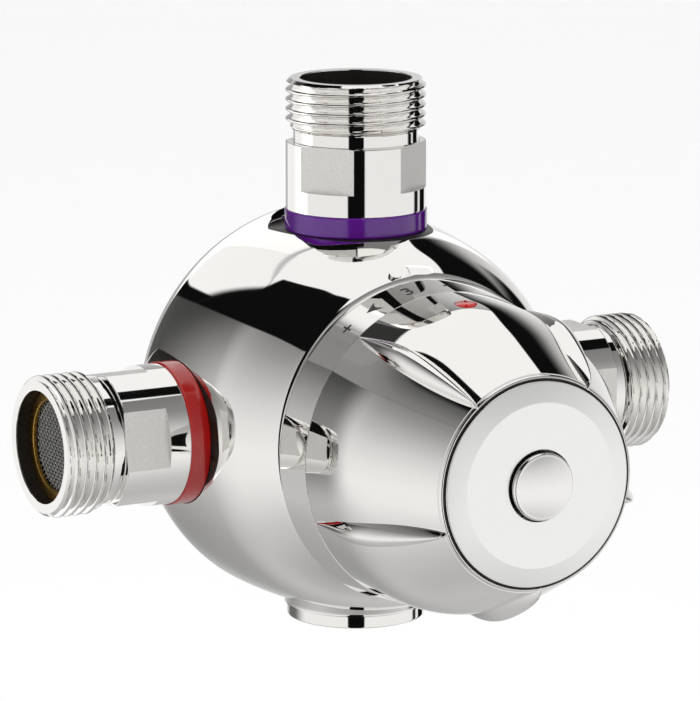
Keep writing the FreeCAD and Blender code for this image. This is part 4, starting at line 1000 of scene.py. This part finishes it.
class Sky(Finish):
    """A direction in the studio, as azimuth to the right of the front and as elevation.

    It knows the foot and the head of the left flag and where the rail runs, in degrees."""

    def __init__(self, tree, direction):
        self.tree = tree
        split = self.tree.nodes.new("ShaderNodeSeparateXYZ")
        plug_in(tree, split.inputs[0], direction)
        east, south, up = (Socket(tree, split.outputs[i]) for i in range(3))
        self.azimuth = east.math("ARCTAN2", south * -1.0) * (180 / math.pi)
        self.elevation = up.math("MINIMUM", 1.0).most(-1.0).math("ARCSINE") * (180 / math.pi)
        side = (self.azimuth - FOOT_MIDDLE) / FOOT_SPREAD
        self.flag_foot = FOOT_HEIGHT - side * side
        lean = (self.azimuth - HEAD_MIDDLE).math("ABSOLUTE") / HEAD_SPREAD
        self.flag_head = HEAD_HEIGHT - lean * lean * lean
        self.over_foot = (self.elevation - self.flag_foot).step(-0.4, 0.4)
        self.under_head = (self.elevation - self.flag_head).step(0.5, -0.5)

    def between(self, low, high, soft):
        """1 where the azimuth lies between two angles."""
        return self.azimuth.step(low - soft, low + soft) * self.azimuth.step(
            high + soft, high - soft)

    def rail(self):
        """1 on the dark rail below the ceiling, at the right."""
        return self.elevation.step(RAIL_LOW - 0.5, RAIL_LOW + 0.5) * self.elevation.step(
            RAIL_HIGH + 0.5, RAIL_HIGH - 0.5) * self.between(RAIL_START, RAIL_END, 1.5)

    def ramp(self, place, low, high, table):
        """Values between the points of a short table, as shades of grey."""
        node = self.tree.nodes.new("ShaderNodeValToRGB")
        plug_in(self.tree, node.inputs[0], (place - low) / (high - low))
        stops = node.color_ramp.elements
        while len(stops) < len(table):
            stops.new(0.5)
        for stop, (angle, shade) in zip(stops, table):
            stop.position = (angle - low) / (high - low)
            stop.color = (shade, shade, shade, 1)
        return Socket(self.tree, node.outputs[0])


world = bpy.data.worlds.new("studio")
bpy.context.scene.world = world
world.use_nodes = True
coordinates = world.node_tree.nodes.new("ShaderNodeTexCoord")
room = Sky(world.node_tree, Socket(world.node_tree, coordinates.outputs["Generated"]))
azimuth, elevation = room.azimuth, room.elevation

# Brightness of walls and floor by elevation, which the chrome shows as a slow shade
WALL = ((-90, 0.36), (-68, 0.49), (-50, 0.63), (-38, 0.78), (-26, 0.90), (-14, 0.91),
        (-2, 0.83), (10, 0.70), (22, 0.51), (34, 0.33), (41, 0.26), (60, 0.20))
wall = room.ramp(elevation, -90, 90, WALL)
near_floor = elevation.step(-32.0, -12.0)
shaded = 0.88 * azimuth.step(-121.0, -155.0) + 0.45 * azimuth.step(148.0, 160.0)
floor_back = 0.62 * azimuth.math("ABSOLUTE").step(100.0, 180.0) * elevation.step(-65.0, -30.0)
shade = wall * (1.0 - shaded * near_floor) * (1.0 - floor_back * (1.0 - near_floor))

# Left flag, with a cord that goes on along its foot behind the valve
left_side = room.between(FLAG_START, FLAG_END, 1.5)
left_flag = room.over_foot * room.under_head * left_side
cord = room.over_foot * (elevation - room.flag_foot).step(5.0, 4.4) * azimuth.step(-153.0, -157.0)

# Right flag: level and sharp along its head, drooping at its far end, fading downwards
droop = (azimuth - 112.0).most(0.0) / 11.0
right_head = 49.5 - droop * droop * droop
sag = (azimuth - 125.0) / 4.96
right_foot = 36.5 - sag * sag
right_flag = (elevation - right_head).step(0.5, -0.5) * (
    elevation - right_foot).step(-17.0, 0.0) * azimuth.step(80.0, 86.0)
low_flag = room.between(101.0, 123.0, 2.0) * elevation.step(-46.0, -38.0) * elevation.step(
    30.0, 14.0)

# Ceiling over both flags, and over the front from 60 degrees
back_rise = 12.0 * azimuth.step(146.0, 168.0)
front_rise = 10.5 * azimuth.step(86.0, 80.0)
right_edge = right_head.most(31.0) + front_rise + back_rise
over_right = (elevation - right_edge).step(-0.5, 0.5) * azimuth.step(-45.0, -40.0)
over_left = (1.0 - room.under_head) * room.over_foot * left_side
behind = (elevation - 43.0).step(-1.0, 1.0) * azimuth.step(-150.0, -152.0)
ceiling = over_right.most(over_left, behind)
upright = room.between(-42.0, -14.0, 1.2) * elevation.step(-70.0, -62.0) * elevation.step(
    60.0, 57.0)

CEILING_SHADE, FLAG_SHADE = 0.97, 0.004
shade = shade * (1.0 - ceiling) + CEILING_SHADE * ceiling
dark = left_flag.most(right_flag, cord, room.rail(), low_flag, upright)
shade = shade * (1.0 - dark) + FLAG_SHADE * dark

WHITE, LIGHT = 1.0, 0.97
path = world.node_tree.nodes.new("ShaderNodeLightPath")
to_camera = Socket(world.node_tree, path.outputs["Is Camera Ray"])
to_gloss = Socket(world.node_tree, path.outputs["Is Glossy Ray"])
result = to_gloss * shade + (1.0 - to_gloss) * LIGHT
result = to_camera * WHITE + (1.0 - to_camera) * result
plug_in(world.node_tree, world.node_tree.nodes["Background"].inputs["Color"], result)


def fill_dome(name, reach_out, receivers):
    """A clear dome round the studio that lights only some pieces. Returns its directions."""
    bpy.ops.object.select_all(action="DESELECT")
    bpy.ops.mesh.primitive_uv_sphere_add(segments=64, ring_count=32, radius=reach_out,
                                         location=crossing)
    dome = bpy.context.object
    dome.name = name
    bpy.ops.object.transform_apply(location=True, rotation=True, scale=True)
    dome.visible_camera = False
    dome.visible_diffuse = False
    dome.visible_shadow = False
    dome.visible_transmission = False
    lit = bpy.data.collections.new(name + "_receivers")
    for piece in receivers:
        lit.objects.link(piece)
    dome.light_linking.receiver_collection = lit
    finish = Finish(name, Base_Color=(0, 0, 0, 1), Specular_IOR_Level=0.0, Roughness=1.0,
                    Emission_Strength=1.0)
    finish.material.cycles.emission_sampling = "NONE"
    dome.data.materials.append(finish.material)
    place = finish.node("ShaderNodeTexCoord", out="Object")
    towards = finish.node("ShaderNodeVectorMath", place, tuple(crossing),
                          settings={"operation": "SUBTRACT"})
    towards = finish.node("ShaderNodeVectorMath", towards, settings={"operation": "NORMALIZE"})
    return Sky(finish.tree, towards)


def glow(sky, brightness):
    """The dome shines by this brightness and is clear everywhere."""
    shine = sky.tree.nodes["Principled BSDF"]
    plug_in(sky.tree, shine.inputs["Emission Color"], brightness)
    clear = sky.node("ShaderNodeBsdfTransparent")
    both = sky.node("ShaderNodeAddShader", Socket(sky.tree, shine.outputs[0]), clear)
    plug_in(sky.tree, sky.tree.nodes["Material Output"].inputs["Surface"], both)


# The knob stands forward of the left flag's edge and sees a grey card in front of it. Neither
# it nor the body sees the rail.
RAIL_FILL, WALL_FILL, UNION_FILL = 0.96, 0.93, 0.85
knob_sky = fill_dome("knob_fill", 2.5, [knob])
card = knob_sky.ramp(knob_sky.elevation, 20, 80, (
    (24, 0.27), (38, 0.25), (46, 0.21), (52, 0.15), (57, 0.10), (60, 0.0)))
knob_side = knob_sky.azimuth.step(-56.0, -66.0)
knob_card = card * knob_sky.over_foot * knob_sky.under_head * knob_side
glow(knob_sky, knob_card.most(knob_sky.rail() * RAIL_FILL))

# The body looks past the flags to the lit wall behind the valve
body_sky = fill_dome("body_fill", 2.7, [valve_body])
body_left = body_sky.azimuth.step(-155.5, -158.5) * (
    body_sky.elevation - body_sky.flag_foot).step(4.2, 5.2)
body_right = body_sky.azimuth.step(133.0, 138.0) * body_sky.elevation.step(4.0, 9.0)
body_back = (body_sky.elevation - 43.0).step(1.0, -1.0)
body_wall = body_left.most(body_right) * body_back * WALL_FILL
glow(body_sky, body_wall.most(body_sky.rail() * RAIL_FILL))

# The unions look back at the white wall beyond the left flag
union_sky = fill_dome("union_fill", 2.9, unions)
glow(union_sky, union_sky.azimuth.step(-112.0, -124.0) * union_sky.elevation.step(
    -48.0, -36.0) * union_sky.elevation.step(30.0, 16.0) * UNION_FILL)

# A broad soft lamp above the left shoulder gives the matt parts some modelling
LAMP_PLACE, LAMP_SIZE, LAMP_WATTS = (-0.6, -0.5, 0.9), 0.6, 6.0
bpy.ops.object.light_add(type="AREA", location=LAMP_PLACE)
lamp = bpy.context.object
lamp.name = "soft_lamp"
lamp.data.shape = "DISK"
lamp.data.size = LAMP_SIZE
lamp.data.energy = LAMP_WATTS
lamp.visible_glossy = False
lamp.rotation_euler = (crossing - lamp.location).to_track_quat("-Z", "Y").to_euler()


# Camera: a long lens, a little above the valve and to its left. Its focal length and the long
# side of the picture are in pixels, its angles in degrees.
CAMERA_TURN, CAMERA_RISE, CAMERA_DISTANCE = 28.743, 11.434, 0.85733
FOCAL_PIXELS, LONG_SIDE, SENSOR = 4495.99, 701, 36.0
AIM_RIGHT, AIM_UP, NEAREST = 0.00035, 0.01165, 0.01
turn, rise = math.radians(CAMERA_TURN), math.radians(CAMERA_RISE)
back = Vector((-math.sin(turn) * math.cos(rise), -math.cos(turn) * math.cos(rise),
               math.sin(rise)))
right = Vector((math.cos(turn), -math.sin(turn), 0))
upward = back.cross(right)
aim = crossing + right * AIM_RIGHT + upward * AIM_UP
bpy.ops.object.camera_add(location=aim + back * CAMERA_DISTANCE,
                          rotation=(math.pi / 2 - rise, 0, -turn))
camera = bpy.context.object
camera.data.sensor_width = SENSOR
camera.data.lens = FOCAL_PIXELS * SENSOR / LONG_SIDE
camera.data.clip_start = NEAREST
bpy.context.scene.camera = camera
bpy.context.scene.view_settings.view_transform = "Standard"
